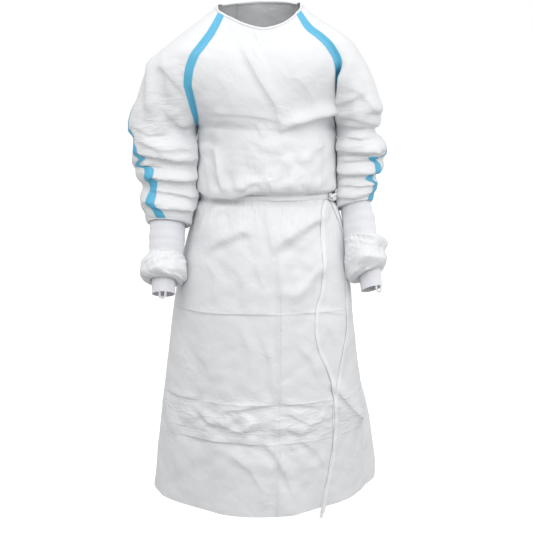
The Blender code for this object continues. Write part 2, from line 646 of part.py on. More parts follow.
def lap_offset(grid, wearer_left, out):
    """How far a back panel drifts from its seams' surface to its own layer at the lap."""
    run = row_runs(grid)
    from_seam = run[:, -1:] - run if wearer_left else run
    return out * ease((from_seam - TAPE_HALF) / LAP_DRIFT)


# Walls


def grid_faces(rows, columns, flipped, turned=()):
    """Two triangles for each cell of a grid, wound to face outwards.

    The cells of a column in turned are split along their other diagonal.
    """
    r, c = np.meshgrid(np.arange(rows - 1), np.arange(columns - 1), indexing="ij")
    a = (r * columns + c).ravel()
    b, d, e = a + 1, a + columns, a + columns + 1
    other = np.isin(c.ravel(), turned)[:, None]
    first = np.where(other, np.stack([a, b, d], 1), np.stack([a, b, e], 1))
    second = np.where(other, np.stack([b, e, d], 1), np.stack([a, e, d], 1))
    triangles = np.concatenate([first, second])
    return triangles[:, ::-1] if flipped else triangles


def joined(points):
    """The first of each set of points at one place, and each point's own place among them."""
    keys = np.round(points.reshape(-1, 3) * 1e6).astype(np.int64)
    _, first, index = np.unique(keys, axis=0, return_index=True, return_inverse=True)
    return first, index.reshape(-1)


def shared_normals(grids):
    """Outward directions for every grid, the same on both sides of each seam.

    At the point of each underarm, where the body and the sleeve part, it is straight down.
    """
    points = np.concatenate([grid.reshape(-1, 3) for grid in grids.values()])
    _, index = joined(points)
    total = np.zeros((index.max() + 1, 3))
    start = 0
    for name, grid in grids.items():
        faces = grid_faces(grid.shape[0], grid.shape[1], FLIPPED[name]) + start
        corner = points[faces]
        face_normal = np.cross(corner[:, 1] - corner[:, 0], corner[:, 2] - corner[:, 0])
        for k in range(3):
            np.add.at(total, index[faces[:, k]], face_normal)
        start += len(grid) * grid.shape[1]
    normals = unit(total)[index]
    for table in (RIGHT_SLEEVE, LEFT_SLEEVE):
        underarm = np.array([table[UNDERARM_ROW].inner_x, 0, UNDERARM_Z])
        normals[np.linalg.norm(points - underarm, axis=1) < 1e-5] = (0, 0, -1)
    found, start = {}, 0
    for name, grid in grids.items():
        size = len(grid) * grid.shape[1]
        found[name] = normals[start : start + size].reshape(grid.shape)
        start += size
    return found


def parted(name, grid):
    """A grid whose edges are drawn back from its seams, so that neighbours don't touch."""
    moved = grid.copy()
    body = name in ("front", "back_right", "back_left")
    rows = slice(0, len(grid) if body else UNDERARM_ROW)
    sleeve = name in ("sleeve_right", "sleeve_left")
    if name in ("front", "back_right") or sleeve:
        moved[rows, 0] += SEAM_INSET * unit(grid[rows, 1] - grid[rows, 0])
    if name in ("front", "back_left") or sleeve:
        moved[rows, -1] += SEAM_INSET * unit(grid[rows, -2] - grid[rows, -1])
    if sleeve:
        outwards = -1 if name == "sleeve_right" else 1
        moved[UNDERARM_ROW, [0, -1]] += 2 * SEAM_INSET * np.array([outwards, 0, -1])
    if name.startswith(("lower_sleeve", "cuff")):
        moved[0] += SEAM_INSET * unit(grid[1] - grid[0])
    if name.startswith(("lower_sleeve", "forearm_band")):
        moved[-1] += SEAM_INSET * unit(grid[-2] - grid[-1])
    return moved


def wall_object(name, outer, inner, flipped, material, turned=()):
    """A closed wall between two grids of the same shape, with a rim round its open edges."""
    first, index = joined(outer)
    faces = index[grid_faces(outer.shape[0], outer.shape[1], flipped, turned)]
    whole = (faces[:, 0] != faces[:, 1]) & (faces[:, 1] != faces[:, 2]) & (faces[:, 0] != faces[:, 2])
    faces = faces[whole]
    count = len(first)
    points = np.concatenate([outer.reshape(-1, 3)[first], inner.reshape(-1, 3)[first]])
    ends = np.concatenate([faces[:, [0, 1]], faces[:, [1, 2]], faces[:, [2, 0]]])
    one_way, other_way = ends[:, 0] * count + ends[:, 1], ends[:, 1] * count + ends[:, 0]
    a, b = ends[~np.isin(one_way, other_way)].T
    rim = np.concatenate([np.stack([b, a, a + count], 1), np.stack([b, a + count, b + count], 1)])
    return mesh_object(name, points, np.concatenate([faces, faces[:, ::-1] + count, rim]), material)


def mesh_object(name, points, faces, material):
    mesh = bpy.data.meshes.new(name)
    mesh.from_pydata([tuple(p) for p in points], [], [tuple(int(i) for i in f) for f in faces])
    mesh.shade_smooth()
    mesh.set_sharp_from_angle(angle=math.radians(50))
    mesh.materials.append(finish(*material))
    made = bpy.data.objects.new(name, mesh)
    bpy.context.scene.collection.objects.link(made)
    return made


def finish(name, colour, roughness):
    """The Principled material of that name, made once."""
    material = bpy.data.materials.get(name)
    if material is None:
        material = bpy.data.materials.new(name)
        material.use_nodes = True
        shader = material.node_tree.nodes["Principled BSDF"]
        shader.inputs["Base Color"].default_value = (*colour, 1)
        shader.inputs["Roughness"].default_value = roughness
        shader.inputs["Metallic"].default_value = 0
    return material


def facing_out(points, faces):
    """The faces of a closed form, turned round if they face inwards."""
    corner = points[faces]
    volume = np.einsum("ij,ij->i", corner[:, 0], np.cross(corner[:, 1], corner[:, 2])).sum()
    return faces if volume > 0 else faces[:, ::-1]


def strip_object(name, middle, across, out, size, material, closed=False):
    """A flat strip along a line: a rectangle of size (width, thickness) carried along it."""
    half_across, half_out = unit(across) * size[0] / 2, unit(out) * size[1] / 2
    corners = (
        middle - half_across - half_out,
        middle + half_across - half_out,
        middle + half_across + half_out,
        middle - half_across + half_out,
    )
    points = np.stack(corners, 1).reshape(-1, 3)
    count = len(middle)
    i, k = np.meshgrid(np.arange(count if closed else count - 1), np.arange(4), indexing="ij")
    i, k = i.ravel(), k.ravel()
    j, m = (i + 1) % count, (k + 1) % 4
    faces = np.concatenate(
        [
            np.stack([4 * i + k, 4 * i + m, 4 * j + m], 1),
            np.stack([4 * i + k, 4 * j + m, 4 * j + k], 1),
        ]
    )
    if not closed:
        last = 4 * (count - 1)
        ends = [(0, 2, 1), (0, 3, 2), (last, last + 1, last + 2), (last, last + 2, last + 3)]
        faces = np.concatenate([faces, ends])
    return mesh_object(name, points, facing_out(points, faces), material)


# Tape over the seams


def tape_object(name, points, normals, flipped, turned=()):
    """A tape that lies on the cloth: the cloth's own points, moved out."""
    outer, inner = points + normals * (LIFT + TAPE), points + normals * LIFT
    wall_object(name, outer, inner, flipped, BLUE_TAPE, turned)


def raglan_tape(side, front, grids, normals):
    """The tape over a raglan seam, from the panel's first column over the seam to the sleeve's."""
    panel = "front" if front else f"back_{side}"
    panel_columns = (0, 1) if side == "right" else (-1, -2)
    sleeve_column = 1 if front else -2
    rows = slice(0, UNDERARM_ROW)

    def three(source):
        beside = [source[panel][rows, column] for column in panel_columns]
        return np.stack([beside[1], beside[0], source[f"sleeve_{side}"][rows, sleeve_column]], 1)

    face = "front" if front else "back"
    turned = [cell for cell, backwards in enumerate((side == "right", not front)) if backwards]
    flipped = (side == "right") != front
    tape_object(f"tape_{face}_{side}", three(grids), three(normals), flipped, turned)


def sleeve_tape(side, grids, normals):
    rows = slice(SEAM_TAPE_ROWS[0], SEAM_TAPE_ROWS[1])
    columns = slice(SEAM_COLUMN - 1, SEAM_COLUMN + 2)
    name = f"sleeve_{side}"
    tape_object(f"tape_{name}", grids[name][rows, columns], normals[name][rows, columns], FLIPPED[name])


# What runs round the body: belt and neck tab on top, binding along the edge


def lapped_row(grids, values, row, lap_row):
    """A row across the back from the left side to the right, the right panel over the left.

    The left panel's columns are those that the right one leaves bare in lap_row.
    """
    left, right = values["back_left"][row][::-1], values["back_right"][row][::-1]
    edge_x = grids["back_right"][lap_row][-1, 0]
    bare = grids["back_left"][lap_row][::-1, 0] > edge_x + STEP_RUN
    return np.concatenate([left[bare], right])


def belt(grids, normals):
    """The belt: a closed strip over the front and both back panels, between two of their rows."""
    rows = [UNDERARM_ROW + 1 + BODY_LEVELS.index(z) for z in (BELT_TOP_Z, BELT_BOTTOM_Z)]

    def line(values, row):
        return np.concatenate([values["front"][row], lapped_row(grids, values, row, rows[0])[1:-1]])

    top, bottom = (line(grids, row) for row in rows)
    out = unit(sum(line(normals, row) for row in rows))
    middle = (top + bottom) / 2 + out * (LIFT + BELT_THICKNESS / 2)
    size = (BELT_WIDTH, BELT_THICKNESS)
    strip_object("belt", middle, top - bottom, out, size, WHITE_TIE, closed=True)


def neck_tab(grids, normals):
    """The fastening tab: from the outer back panel over its free edge to the inner one."""
    edge_x = grids["back_right"][0][-1, 0]

    def at(values, share):
        upper, lower = (lapped_row(grids, values, row, 0) for row in (0, 1))
        return upper * (1 - share) + lower * share

    near = np.abs(lapped_row(grids, grids, 0, 0)[:, 0] - edge_x) < NECK_TAB_HALF
    points = np.stack([at(grids, share)[near][::-1] for share in NECK_TAB_ROWS])
    out = unit(np.stack([at(normals, share)[near][::-1] for share in NECK_TAB_ROWS]))
    outer, inner = points + out * (TAB_LIFT + TAB_THICKNESS), points + out * TAB_LIFT
    wall_object("neck_tab", outer, inner, False, WHITE_TIE)


def neck_binding(grids, normals):
    """The binding along the neckline, from one back panel's free edge round to the other's."""
    parts = (("back_left", 1), ("sleeve_left", -1), ("front", -1), ("sleeve_right", 1), ("back_right", 1))
    edge = np.concatenate([grids[name][0][::way] for name, way in parts])
    up = np.concatenate([unit(grids[name][0] - grids[name][1])[::way] for name, way in parts])
    out = np.concatenate([normals[name][0][::way] for name, way in parts])
    kept = [0]
    for i in range(1, len(edge)):
        if np.linalg.norm(edge[i] - edge[kept[-1]]) > BINDING_STEP:
            kept.append(i)
    edge, up, out = edge[kept], up[kept], out[kept]
    for _ in range(3):
        up[1:-1] = unit(up[:-2] + 2 * up[1:-1] + up[2:])
    middle = edge + up * (BINDING_GAP + BINDING_HEIGHT / 2) - out * CLOTH / 2
    size = (BINDING_HEIGHT, BINDING_THICKNESS)
    strip_object("neck_binding", middle, up, np.cross(np.cross(up, out), up), size, WHITE_CLOTH)


# Ties, knot and thumb loops


def seen_from_front(grid, values, x, z):
    """The front's values at (x, z) as seen from the front, on its nearest face there."""
    faces = grid_faces(grid.shape[0], grid.shape[1], False)
    corner, value = grid.reshape(-1, 3)[faces], values.reshape(-1, 3)[faces]
    (ax, _, az), (bx, _, bz), (cx, _, cz) = (corner[:, k].T for k in range(3))
    size = (bx - ax) * (cz - az) - (cx - ax) * (bz - az)
    size = np.where(np.abs(size) < 1e-12, 1e-12, size)
    px, pz = x[:, None] - ax, z[:, None] - az
    u = (px * (cz - az) - (cx - ax) * pz) / size
    v = ((bx - ax) * pz - px * (bz - az)) / size
    inside = (u > -1e-6) & (v > -1e-6) & (u + v < 1 + 1e-6)
    weights = np.stack([1 - u - v, u, v], -1)
    depth = np.where(inside, np.einsum("pfk,fk->pf", weights, corner[:, :, 1]), 9.0)
    best = depth.argmin(axis=1)
    pick = np.arange(len(x))
    return np.einsum("pk,pkc->pc", weights[pick, best], value[best])


def tie(name, route, front, front_normals):
    """A tie that hangs from the knot and lies down the skirt, past the hem."""
    steps = [math.hypot(b.x - a.x, b.z - a.z) for a, b in zip(route, route[1:])]
    run = np.concatenate([[0], np.cumsum(steps)])
    at = np.linspace(0, run[-1], TIE_STEPS)
    x, z, out = (curve(run, column(route, key), at) for key in ("x", "z", "out"))
    on_cloth = np.maximum(z, HEM_Z + 0.001)
    points = seen_from_front(front, front, x, on_cloth)
    normals = unit(seen_from_front(front, front_normals, x, on_cloth))
    points[:, 2] = z
    middle = points + normals * (out + TIE_THICKNESS / 2)[:, None]
    along = unit(np.gradient(middle, axis=0))
    across = unit(np.cross(along, normals))
    size = (TIE_WIDTH, TIE_THICKNESS)
    strip_object(name, middle, across, np.cross(across, along), size, WHITE_TIE)


def knot():
    """The knot: a small rounded bundle in front of the belt, narrower round its middle."""
    angle = np.radians(np.array([KNOT_ANGLE - 1.0, KNOT_ANGLE, KNOT_ANGLE + 1.0]))
    before, here, after = body_ring(angle, np.full(3, BELT_Z))
    along = unit(before - after)
    up = np.array([0, 0, 1.0])
    out = unit(np.cross(along, up))
    out = out if out @ (here * [1, 1, 0]) > 0 else -out
    centre = here + out * (LIFT + BELT_THICKNESS + 2 * SEAM_INSET + KNOT_SIZE[1])
    tilt = np.pi * np.arange(1, KNOT_LEVELS) / KNOT_LEVELS
    spin = 2 * np.pi * np.arange(KNOT_TURNS) / KNOT_TURNS
    tilt, spin = np.meshgrid(tilt, spin, indexing="ij")

    def flattened(value):
        return np.sign(value) * np.abs(value) ** 0.7

    waist = 1 - 0.16 * np.exp(-((np.cos(tilt) / 0.25) ** 2))
    round_it = flattened(np.sin(tilt)) * waist
    shares = (flattened(np.cos(tilt)), round_it * flattened(np.cos(spin)), round_it * flattened(np.sin(spin)))
    offsets = sum(s[..., None] * axis * half for s, axis, half in zip(shares, (along, out, up), KNOT_SIZE))
    tips = along * KNOT_SIZE[0]
    points = centre + np.concatenate([[tips], offsets.reshape(-1, 3), [-tips]])
    ring, turn = np.meshgrid(np.arange(KNOT_LEVELS - 2), np.arange(KNOT_TURNS), indexing="ij")
    a = (1 + ring * KNOT_TURNS + turn).ravel()
    b = (1 + ring * KNOT_TURNS + (turn + 1) % KNOT_TURNS).ravel()
    first = 1 + np.arange(KNOT_TURNS)
    following = 1 + (np.arange(KNOT_TURNS) + 1) % KNOT_TURNS
    last, lower = len(points) - 1, (KNOT_LEVELS - 2) * KNOT_TURNS
    faces = np.concatenate(
        [
            np.stack([0 * first, first, following], 1),
            np.stack([a, a + KNOT_TURNS, b + KNOT_TURNS], 1),
            np.stack([a, b + KNOT_TURNS, b], 1),
            np.stack([0 * first + last, following + lower, first + lower], 1),
        ]
    )
    mesh_object("belt_knot", points, facing_out(points - centre, faces), WHITE_TIE)


def thumb_loop(side, cuff, normals, angle):
    """A thumb loop of flat elastic, hanging in a U from the cuff's edge."""
    run = length_along(cuff[-1])
    turn = np.linspace(0, math.pi, LOOP_STEPS)
    stops = (angle + 90) / 360 * run[-1] - LOOP_HALF * np.cos(turn)

    def on_edge(values):
        return np.stack([np.interp(stops, run, values[:, k]) for k in range(3)], 1)

    down, out = unit(on_edge(cuff[-1] - cuff[-2])), unit(on_edge(normals[-1]))
    drop = LOOP_GAP + LOOP_DROP * np.sin(turn) ** 0.6
    middle = on_edge(cuff[-1]) - out * KNIT / 2 + down * drop[:, None]
    along = unit(np.gradient(middle, axis=0))
    strip_object(f"thumb_loop_{side}", middle, np.cross(along, out), out, LOOP_ELASTIC, WHITE_KNIT)


# The whole gown


def cloth_grids():
    """Every cloth grid, folded and drawn clear of its neighbours."""
    grids = {
        "front": front_grid(),
        "back_right": back_grid(False),
        "back_left": back_grid(True),
        "sleeve_right": sleeve_grid(RIGHT_SLEEVE, RIGHT_SEAM_ANGLES),
        "sleeve_left": sleeve_grid(LEFT_SLEEVE, LEFT_SEAM_ANGLES),
    }
    for side, (sleeve, band, puff, cuff) in LOWER_ARMS.items():
        grids[f"forearm_band_{side}"] = tube_grid((within(sleeve[-1]), *band), 0)
        grids[f"lower_sleeve_{side}"] = tube_grid((band[-1], *puff), GATHER_HEIGHT)
        grids[f"cuff_{side}"] = tube_grid((puff[-1], *cuff), 0)
    for side, seam_column in (("right", 0), ("left", -1)):
        sleeve = grids[f"sleeve_{side}"][: UNDERARM_ROW + 1]
        grids["front"][: UNDERARM_ROW + 1, seam_column] = sleeve[:, 0]
        grids[f"back_{side}"][: UNDERARM_ROW + 1, seam_column] = sleeve[:, -1]
    normals = shared_normals(grids)
    panels = (
        ("front", FRONT_FOLDS, True, True),
        ("back_right", BACK_FOLDS, True, False),
        ("back_left", BACK_FOLDS, False, True),
    )
    heights = {}
    for name, folds, start, end in panels:
        calm = seam_calm(grids[name], start, end) * belt_calm(grids[name])
        heights[name] = fold_height(grids[name], folds) * calm
    heights["back_right"] += lap_offset(grids["back_right"], False, LAP_OUT)
    heights["back_left"] += lap_offset(grids["back_left"], True, LAP_IN)
    for side in ("right", "left"):
        sleeve = grids[f"sleeve_{side}"]
        calm = seam_calm(sleeve, True, True, UNDERARM_ROW)
        heights[f"sleeve_{side}"] = fold_height(sleeve, SLEEVE_FOLDS[side]) * calm
    for name, height in heights.items():
        grids[name] = grids[name] + normals[name] * height[..., None]
    for name, grid in grids.items():
        if name.startswith(("sleeve", "forearm_band", "lower_sleeve", "cuff")):
            grids[name] = pressed_clear(grid)
    return grids


def within(section):
    """The same section drawn in by the gap between a sleeve's hem and the band inside it."""
    inward = math.copysign(HEM_GAP, section.outer_x)
    return section._replace(
        inner_x=section.inner_x + inward,
        outer_x=section.outer_x - inward,
        half_depth=section.half_depth - HEM_GAP,
    )


def clear_scene():
    for item in list(bpy.data.objects):
        bpy.data.objects.remove(item)


def main():
    clear_scene()
    grids = cloth_grids()
    normals = shared_normals(grids)
    for name, grid in grids.items():
        knitted = name.startswith(("forearm_band", "cuff"))
        outer = parted(name, grid)
        inner = outer - normals[name] * (KNIT if knitted else CLOTH)
        wall_object(name, outer, inner, FLIPPED[name], WHITE_KNIT if knitted else WHITE_CLOTH)
    for side in ("right", "left"):
        raglan_tape(side, True, grids, normals)
        raglan_tape(side, False, grids, normals)
        sleeve_tape(side, grids, normals)
        cuff = f"cuff_{side}"
        thumb_loop(side, grids[cuff], normals[cuff], LOOP_ANGLES[side])
    belt(grids, normals)
    knot()
    tie("tie_long", LONG_TIE, grids["front"], normals["front"])
    tie("tie_short", SHORT_TIE, grids["front"], normals["front"])
    neck_tab(grids, normals)
    neck_binding(grids, normals)


main()
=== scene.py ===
# %% [markdown]
# # A chemotherapy gown as it is worn
#
# This lesson dresses a imported model of a disposable gown: white coated nonwoven, raglan sleeves
# with blue tape over their seams, knitted bands and cuffs, and a belt tied at one side.
# Every piece is worked out with numpy on a grid of two parameters, then creased by short
# tables. Lengths are metres, +Z is up and the gown's front faces -Y.

import math
from collections import namedtuple

import bpy
import numpy as np
from mathutils import Matrix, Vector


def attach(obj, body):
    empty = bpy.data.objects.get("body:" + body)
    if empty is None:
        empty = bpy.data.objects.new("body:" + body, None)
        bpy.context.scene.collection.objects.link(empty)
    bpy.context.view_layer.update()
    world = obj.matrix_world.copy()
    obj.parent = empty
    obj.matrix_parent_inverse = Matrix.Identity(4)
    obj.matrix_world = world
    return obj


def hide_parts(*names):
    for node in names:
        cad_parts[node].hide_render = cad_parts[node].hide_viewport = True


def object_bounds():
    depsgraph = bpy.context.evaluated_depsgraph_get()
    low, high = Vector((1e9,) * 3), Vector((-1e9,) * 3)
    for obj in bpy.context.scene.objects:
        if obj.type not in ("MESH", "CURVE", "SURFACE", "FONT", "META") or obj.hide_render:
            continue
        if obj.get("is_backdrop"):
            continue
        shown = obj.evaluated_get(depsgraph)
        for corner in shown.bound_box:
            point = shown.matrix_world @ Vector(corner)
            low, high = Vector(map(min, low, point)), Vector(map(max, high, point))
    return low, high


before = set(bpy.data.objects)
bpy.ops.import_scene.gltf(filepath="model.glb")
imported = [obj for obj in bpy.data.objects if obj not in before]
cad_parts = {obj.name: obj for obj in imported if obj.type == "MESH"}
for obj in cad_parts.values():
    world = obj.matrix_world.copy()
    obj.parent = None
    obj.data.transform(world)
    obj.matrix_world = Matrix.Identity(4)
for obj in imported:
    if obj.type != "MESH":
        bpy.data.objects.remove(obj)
cad_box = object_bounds()

# %% [markdown]
# ## The camera
#
# The photograph looks slightly down from shoulder height with a long lens. The camera is placed
# first, so that every later step can be checked from the same view.

# %% The camera
CAMERA_PLACE = (0.0132, -2.6, -0.228)
CAMERA_PITCH = 8.09  # degrees below level
CAMERA_LENS = 74.26  # millimetres, on a sensor 36 mm wide

camera_data = bpy.data.cameras.new("view_from_front")
camera_data.lens = CAMERA_LENS
camera_data.sensor_width = 36
camera = bpy.data.objects.new("view_from_front", camera_data)
camera.location = CAMERA_PLACE
camera.rotation_euler = (math.radians(90 - CAMERA_PITCH), 0, 0)
bpy.context.scene.collection.objects.link(camera)
bpy.context.scene.camera = camera
print("camera at", CAMERA_PLACE)

# %% [markdown]
# ## Smooth curves through short tables
#
# A garment is drafted from a few measured rings, and the cloth runs smoothly between them.
# A monotone curve never overshoots its knots, so a waist stays as narrow as it was measured.

# %% Curves and steps
def slopes(knots, values):
    """Slopes that keep a curve monotone between its knots, so it never overshoots them."""
    steps = np.diff(knots)
    rises = np.diff(values) / steps
    inner = np.zeros(len(knots))
    same_way = rises[:-1] * rises[1:] > 0
    total = np.where(same_way, rises[:-1] + rises[1:], 1.0)
    inner[1:-1] = np.where(same_way, 2 * rises[:-1] * rises[1:] / total, 0.0)
    inner[0], inner[-1] = rises[0], rises[-1]
    return inner


def curve(knots, values, at):
    """The smooth curve through (knots, values), read at any numbers."""
    knots, values = np.asarray(knots, float), np.asarray(values, float)
    if knots[0] > knots[-1]:
        knots, values = knots[::-1], values[::-1]
    slope = slopes(knots, values)
    at = np.clip(np.asarray(at, float), knots[0], knots[-1])
    i = np.clip(np.searchsorted(knots, at) - 1, 0, len(knots) - 2)
    span = knots[i + 1] - knots[i]
    t = (at - knots[i]) / span
    return (
        (1 + 2 * t) * (1 - t) ** 2 * values[i]
        + t * (1 - t) ** 2 * span * slope[i]
        + t * t * (3 - 2 * t) * values[i + 1]
        + t * t * (t - 1) * span * slope[i + 1]
    )


def table(kind, lengths, rows):
    """Named rows of a short table. Its first columns, as many as lengths says, are millimetres."""
    return tuple(kind(*(v / 1000 for v in row[:lengths]), *row[lengths:]) for row in rows)


def column(rows, name):
    return np.array([getattr(row, name) for row in rows])


def ease(t):
    """0 below 0, 1 above 1 and a smooth step between."""
    t = np.clip(t, 0.0, 1.0)
    return t * t * (3 - 2 * t)


def unit(vectors):
    return vectors / np.maximum(np.linalg.norm(vectors, axis=-1, keepdims=True), 1e-12)


def smoothed(directions, times):
    """Directions along a line, each averaged with its neighbours, so many times over."""
    for _ in range(times):
        directions[1:-1] = unit(directions[:-2] + 2 * directions[1:-1] + directions[2:])
    return directions


def length_along(points):
    """How far along a line each of its points lies."""
    return np.concatenate([[0], np.cumsum(np.linalg.norm(np.diff(points, axis=0), axis=1))])


tried = curve([0, 1, 2], [0.0, 1.0, 1.5], [0.5, 1.5])
print("a curve between its knots:", np.round(tried, 3))

# %% [markdown]
# ## The body of the gown
#
# Below the underarm the front and the two back panels together make one tube. Each ring gives
# the sides, the front and the back of that tube at a height. Above the underarm, arcs run from
# one raglan seam to the other, and each row of the yoke table gives an arc's middle point.

# %% Rings and arcs
UNDERARM_Z = -0.273
BELT_TOP_Z = -0.419
BELT_BOTTOM_Z = -0.431
BELT_Z = (BELT_TOP_Z + BELT_BOTTOM_Z) / 2
BELT_GROOVE = 0.009  # half the height of the level strip that the belt draws in
GATHER_PEAK = 0.018  # the gathers stand out most this far past the groove
HEM_Z = -1.145
CENTRE_X = 0.008  # the centre front at the neck
NECK_V_DIP, NECK_V_HALF, NECK_V_ROWS = 0.008, 0.075, 2  # the neckline's point at the front
BLOUSE_TOP_Z, BLOUSE_Z = -0.330, -0.409  # the chest sags over the belt from here to here
BLOUSE_SAG = 0.018
BLOUSE_ANGLES = (96, 118, 136, 166)  # it grows between the first two and fades between the last

# Lengths in the tables are millimetres. -273 is the underarm's height, -419 and -431 are the
# belt's edges and -1145 is the hem. square is in thousandths.
Ring = namedtuple("Ring", "z right left front back square")
BODY_RINGS = table(Ring, 6, (
    (-273, -148, 176, -132, 116, 10),
    (-325, -151, 179, -140, 115, 12),
    (-369, -153, 180, -146, 114, 15),
    (-392, -155, 181, -151, 116, 15),
    (-409, -155, 181, -148, 114, 12),
    (-419, -148, 175, -127, 104, 10),
    (-431, -148, 175, -126, 103, 10),
    (-446, -155, 180, -136, 111, 12),
    (-502, -169, 190, -154, 128, 20),
    (-582, -189, 203, -170, 146, 25),
    (-683, -208, 216, -180, 157, 25),
    (-785, -221, 228, -186, 163, 10),
    (-888, -233, 238, -192, 168, -15),
    (-992, -244, 243, -199, 173, -50),
    (-1145, -257, 246, -207, 180, -100),
))

# The chest and the back between the raglan seams, from the neckline (0) to the underarm (9).
# An angle is how far short of the side each arc ends: 0 is a half ellipse.
Yoke = namedtuple("Yoke", "front_y front_z back_y back_z front_angle back_angle")
YOKE_ROWS = table(Yoke, 4, (
    (-92, -43, 72, 22, 50, 42),
    (-107, -73, 90, -17, 58, 52),
    (-119, -97, 102, -51, 61, 58),
    (-128, -123, 110, -84, 60, 58),
    (-134, -150, 115, -118, 56, 54),
    (-137, -175, 117, -151, 50, 48),
    (-138, -200, 118, -183, 42, 41),
    (-137, -224, 118, -213, 33, 33),
    (-135, -249, 117, -243, 22, 22),
    (-132, -273, 116, -273, 0, 0),
))

# Waves that the skirt's flare makes: where each starts, its size at the hem, its angle round the
# ring (0 at the wearer's left, 90 in front, 270 behind) and its half width, in degrees.
Wave = namedtuple("Wave", "start_z height angle half_width")
SKIRT_WAVES = table(Wave, 2, (
    (-700, 85, -28, 17),
    (-836, -4, 14, 9),
    (-785, 12, 194, 14),
    (-888, -4, 168, 10),
    (-582, 14, 232, 16),
    (-582, -8, 252, 11),
    (-582, -10, 292, 12),
    (-582, 6, 312, 14),
))

# Gathers that the belt draws in.
Gather = namedtuple("Gather", "height angle half_width")
BELT_GATHERS = table(Gather, 1, (
    (4.5, 22, 7),
    (3.5, 44, 7),
    (3, 66, 8),
    (3, 112, 8),
    (4, 134, 7),
    (4.5, 156, 7),
    (4.5, 205, 9),
    (4.5, 232, 9),
    (4.5, 308, 9),
    (4.5, 335, 9),
))


def ring_values(z):
    """The body ring's centre X, half width, front and back depth and squareness at a height."""
    heights = column(BODY_RINGS, "z")
    right, left, front, back, square = (
        curve(heights, column(BODY_RINGS, name), z)
        for name in ("right", "left", "front", "back", "square")
    )
    return (right + left) / 2, (left - right) / 2, -front, back, square


def angle_gap(angle, centre):
    """Degrees from a wave's centre, the short way round."""
    return (np.degrees(angle) - centre + 180) % 360 - 180


def ring_relief(angle, z):
    """How far the skirt's waves and the belt's gathers stand out from the plain ring."""
    out = np.zeros(np.broadcast(angle, z).shape)
    for wave in SKIRT_WAVES:
        grown = ease((wave.start_z - z) / (wave.start_z - HEM_Z))
        out += wave.height * grown * np.exp(-((angle_gap(angle, wave.angle) / wave.half_width) ** 2))
    away = np.maximum(np.abs(z - BELT_Z) - BELT_GROOVE, 0) / GATHER_PEAK
    for gather in BELT_GATHERS:
        near = away * np.exp(1 - away)
        out += gather.height * near * np.exp(-((angle_gap(angle, gather.angle) / gather.half_width) ** 2))
    return out


def blouse_sag(angle, z):
    """How far the chest hangs down over the belt, at the wearer's right."""
    start, full, fading, gone = BLOUSE_ANGLES
    turn = np.degrees(angle) % 360
    round_it = ease((turn - start) / (full - start)) * ease((gone - turn) / (gone - fading))
    above = ease((BLOUSE_TOP_Z - z) / (BLOUSE_TOP_Z - BLOUSE_Z))
    below = np.clip((z - BELT_TOP_Z) / (BLOUSE_Z - BELT_TOP_Z), 0, 1)
    return BLOUSE_SAG * round_it * above * below


def body_ring(angle, z):
    """Points of the body ring: an ellipse with its own front and back depth, squared a little."""
    centre, half, front, back, square = ring_values(z)
    cosine, sine = np.cos(angle), np.sin(angle)
    grow = 1 + square * np.sin(2 * angle) ** 2
    x = half * cosine * grow
    y = -np.where(sine > 0, front, back) * sine * grow
    stretch = 1 + ring_relief(angle, z) / np.hypot(x, y)
    return np.stack([centre + x * stretch, y * stretch, z - blouse_sag(angle, z)], -1)


print("ring at the belt:", np.round(ring_values(BELT_Z), 3))

# %% [markdown]
# ## The sleeves
#
# A raglan sleeve is a tube that opens towards the neck. Each section is half an ellipse and a
# bit more: its ends are the raglan seams. Lower down the ends meet and the section is closed.
# The sleeve's own seam is sealed with tape, and its path is a short table of angles.

# %% Sleeve sections
# A sleeve's sections. inner and outer are the ends of its width and half_depth is half its
# front-to-back size. lift tips a section's front edge up, and open is the angle at which the
# raglan seams cut the section's inner side: 90 is a closed tube.
Section = namedtuple("Section", "inner_x inner_z outer_x outer_z middle_y half_depth lift open")
RIGHT_SLEEVE = table(Section, 6, (
    (-90, 0, -105, 7, 5, 42, -16, 5),
    (-113, -48, -146, -24, 1, 77, -8, 10),
    (-133, -82, -185, -54, 0, 97, -3, 12),
    (-149, -110, -224, -85, 0, 107, 0, 12),
    (-160, -142, -255, -114, 0, 109, 0, 12),
    (-163, -170, -275, -158, 0, 106, 0, 15),
    (-157, -199, -290, -201, 0, 100, 0, 24),
    (-151, -226, -304, -233, 0, 95, 0, 36),
    (-147, -251, -311, -262, 0, 90, 1, 52),
    (-148, -273, -311, -290, 0, 86, 2, 90),
    (-150, -300, -307, -317, -7, 83, 3, 90),
    (-149, -334, -303, -346, -14, 79, 5, 90),
    (-148, -367, -294, -376, -20, 74, 7, 90),
    (-148, -395, -280, -399, -26, 68, 9, 90),
    (-151, -421, -281, -423, -31, 66, 11, 90),
    (-158, -448, -277, -447, -38, 61, 14, 90),
    (-164, -474, -274, -470, -46, 56, 16, 90),
    (-169, -495, -264, -488, -52, 49, 18, 90),
    (-175, -489, -258, -483, -52, 43, 18, 90),
))
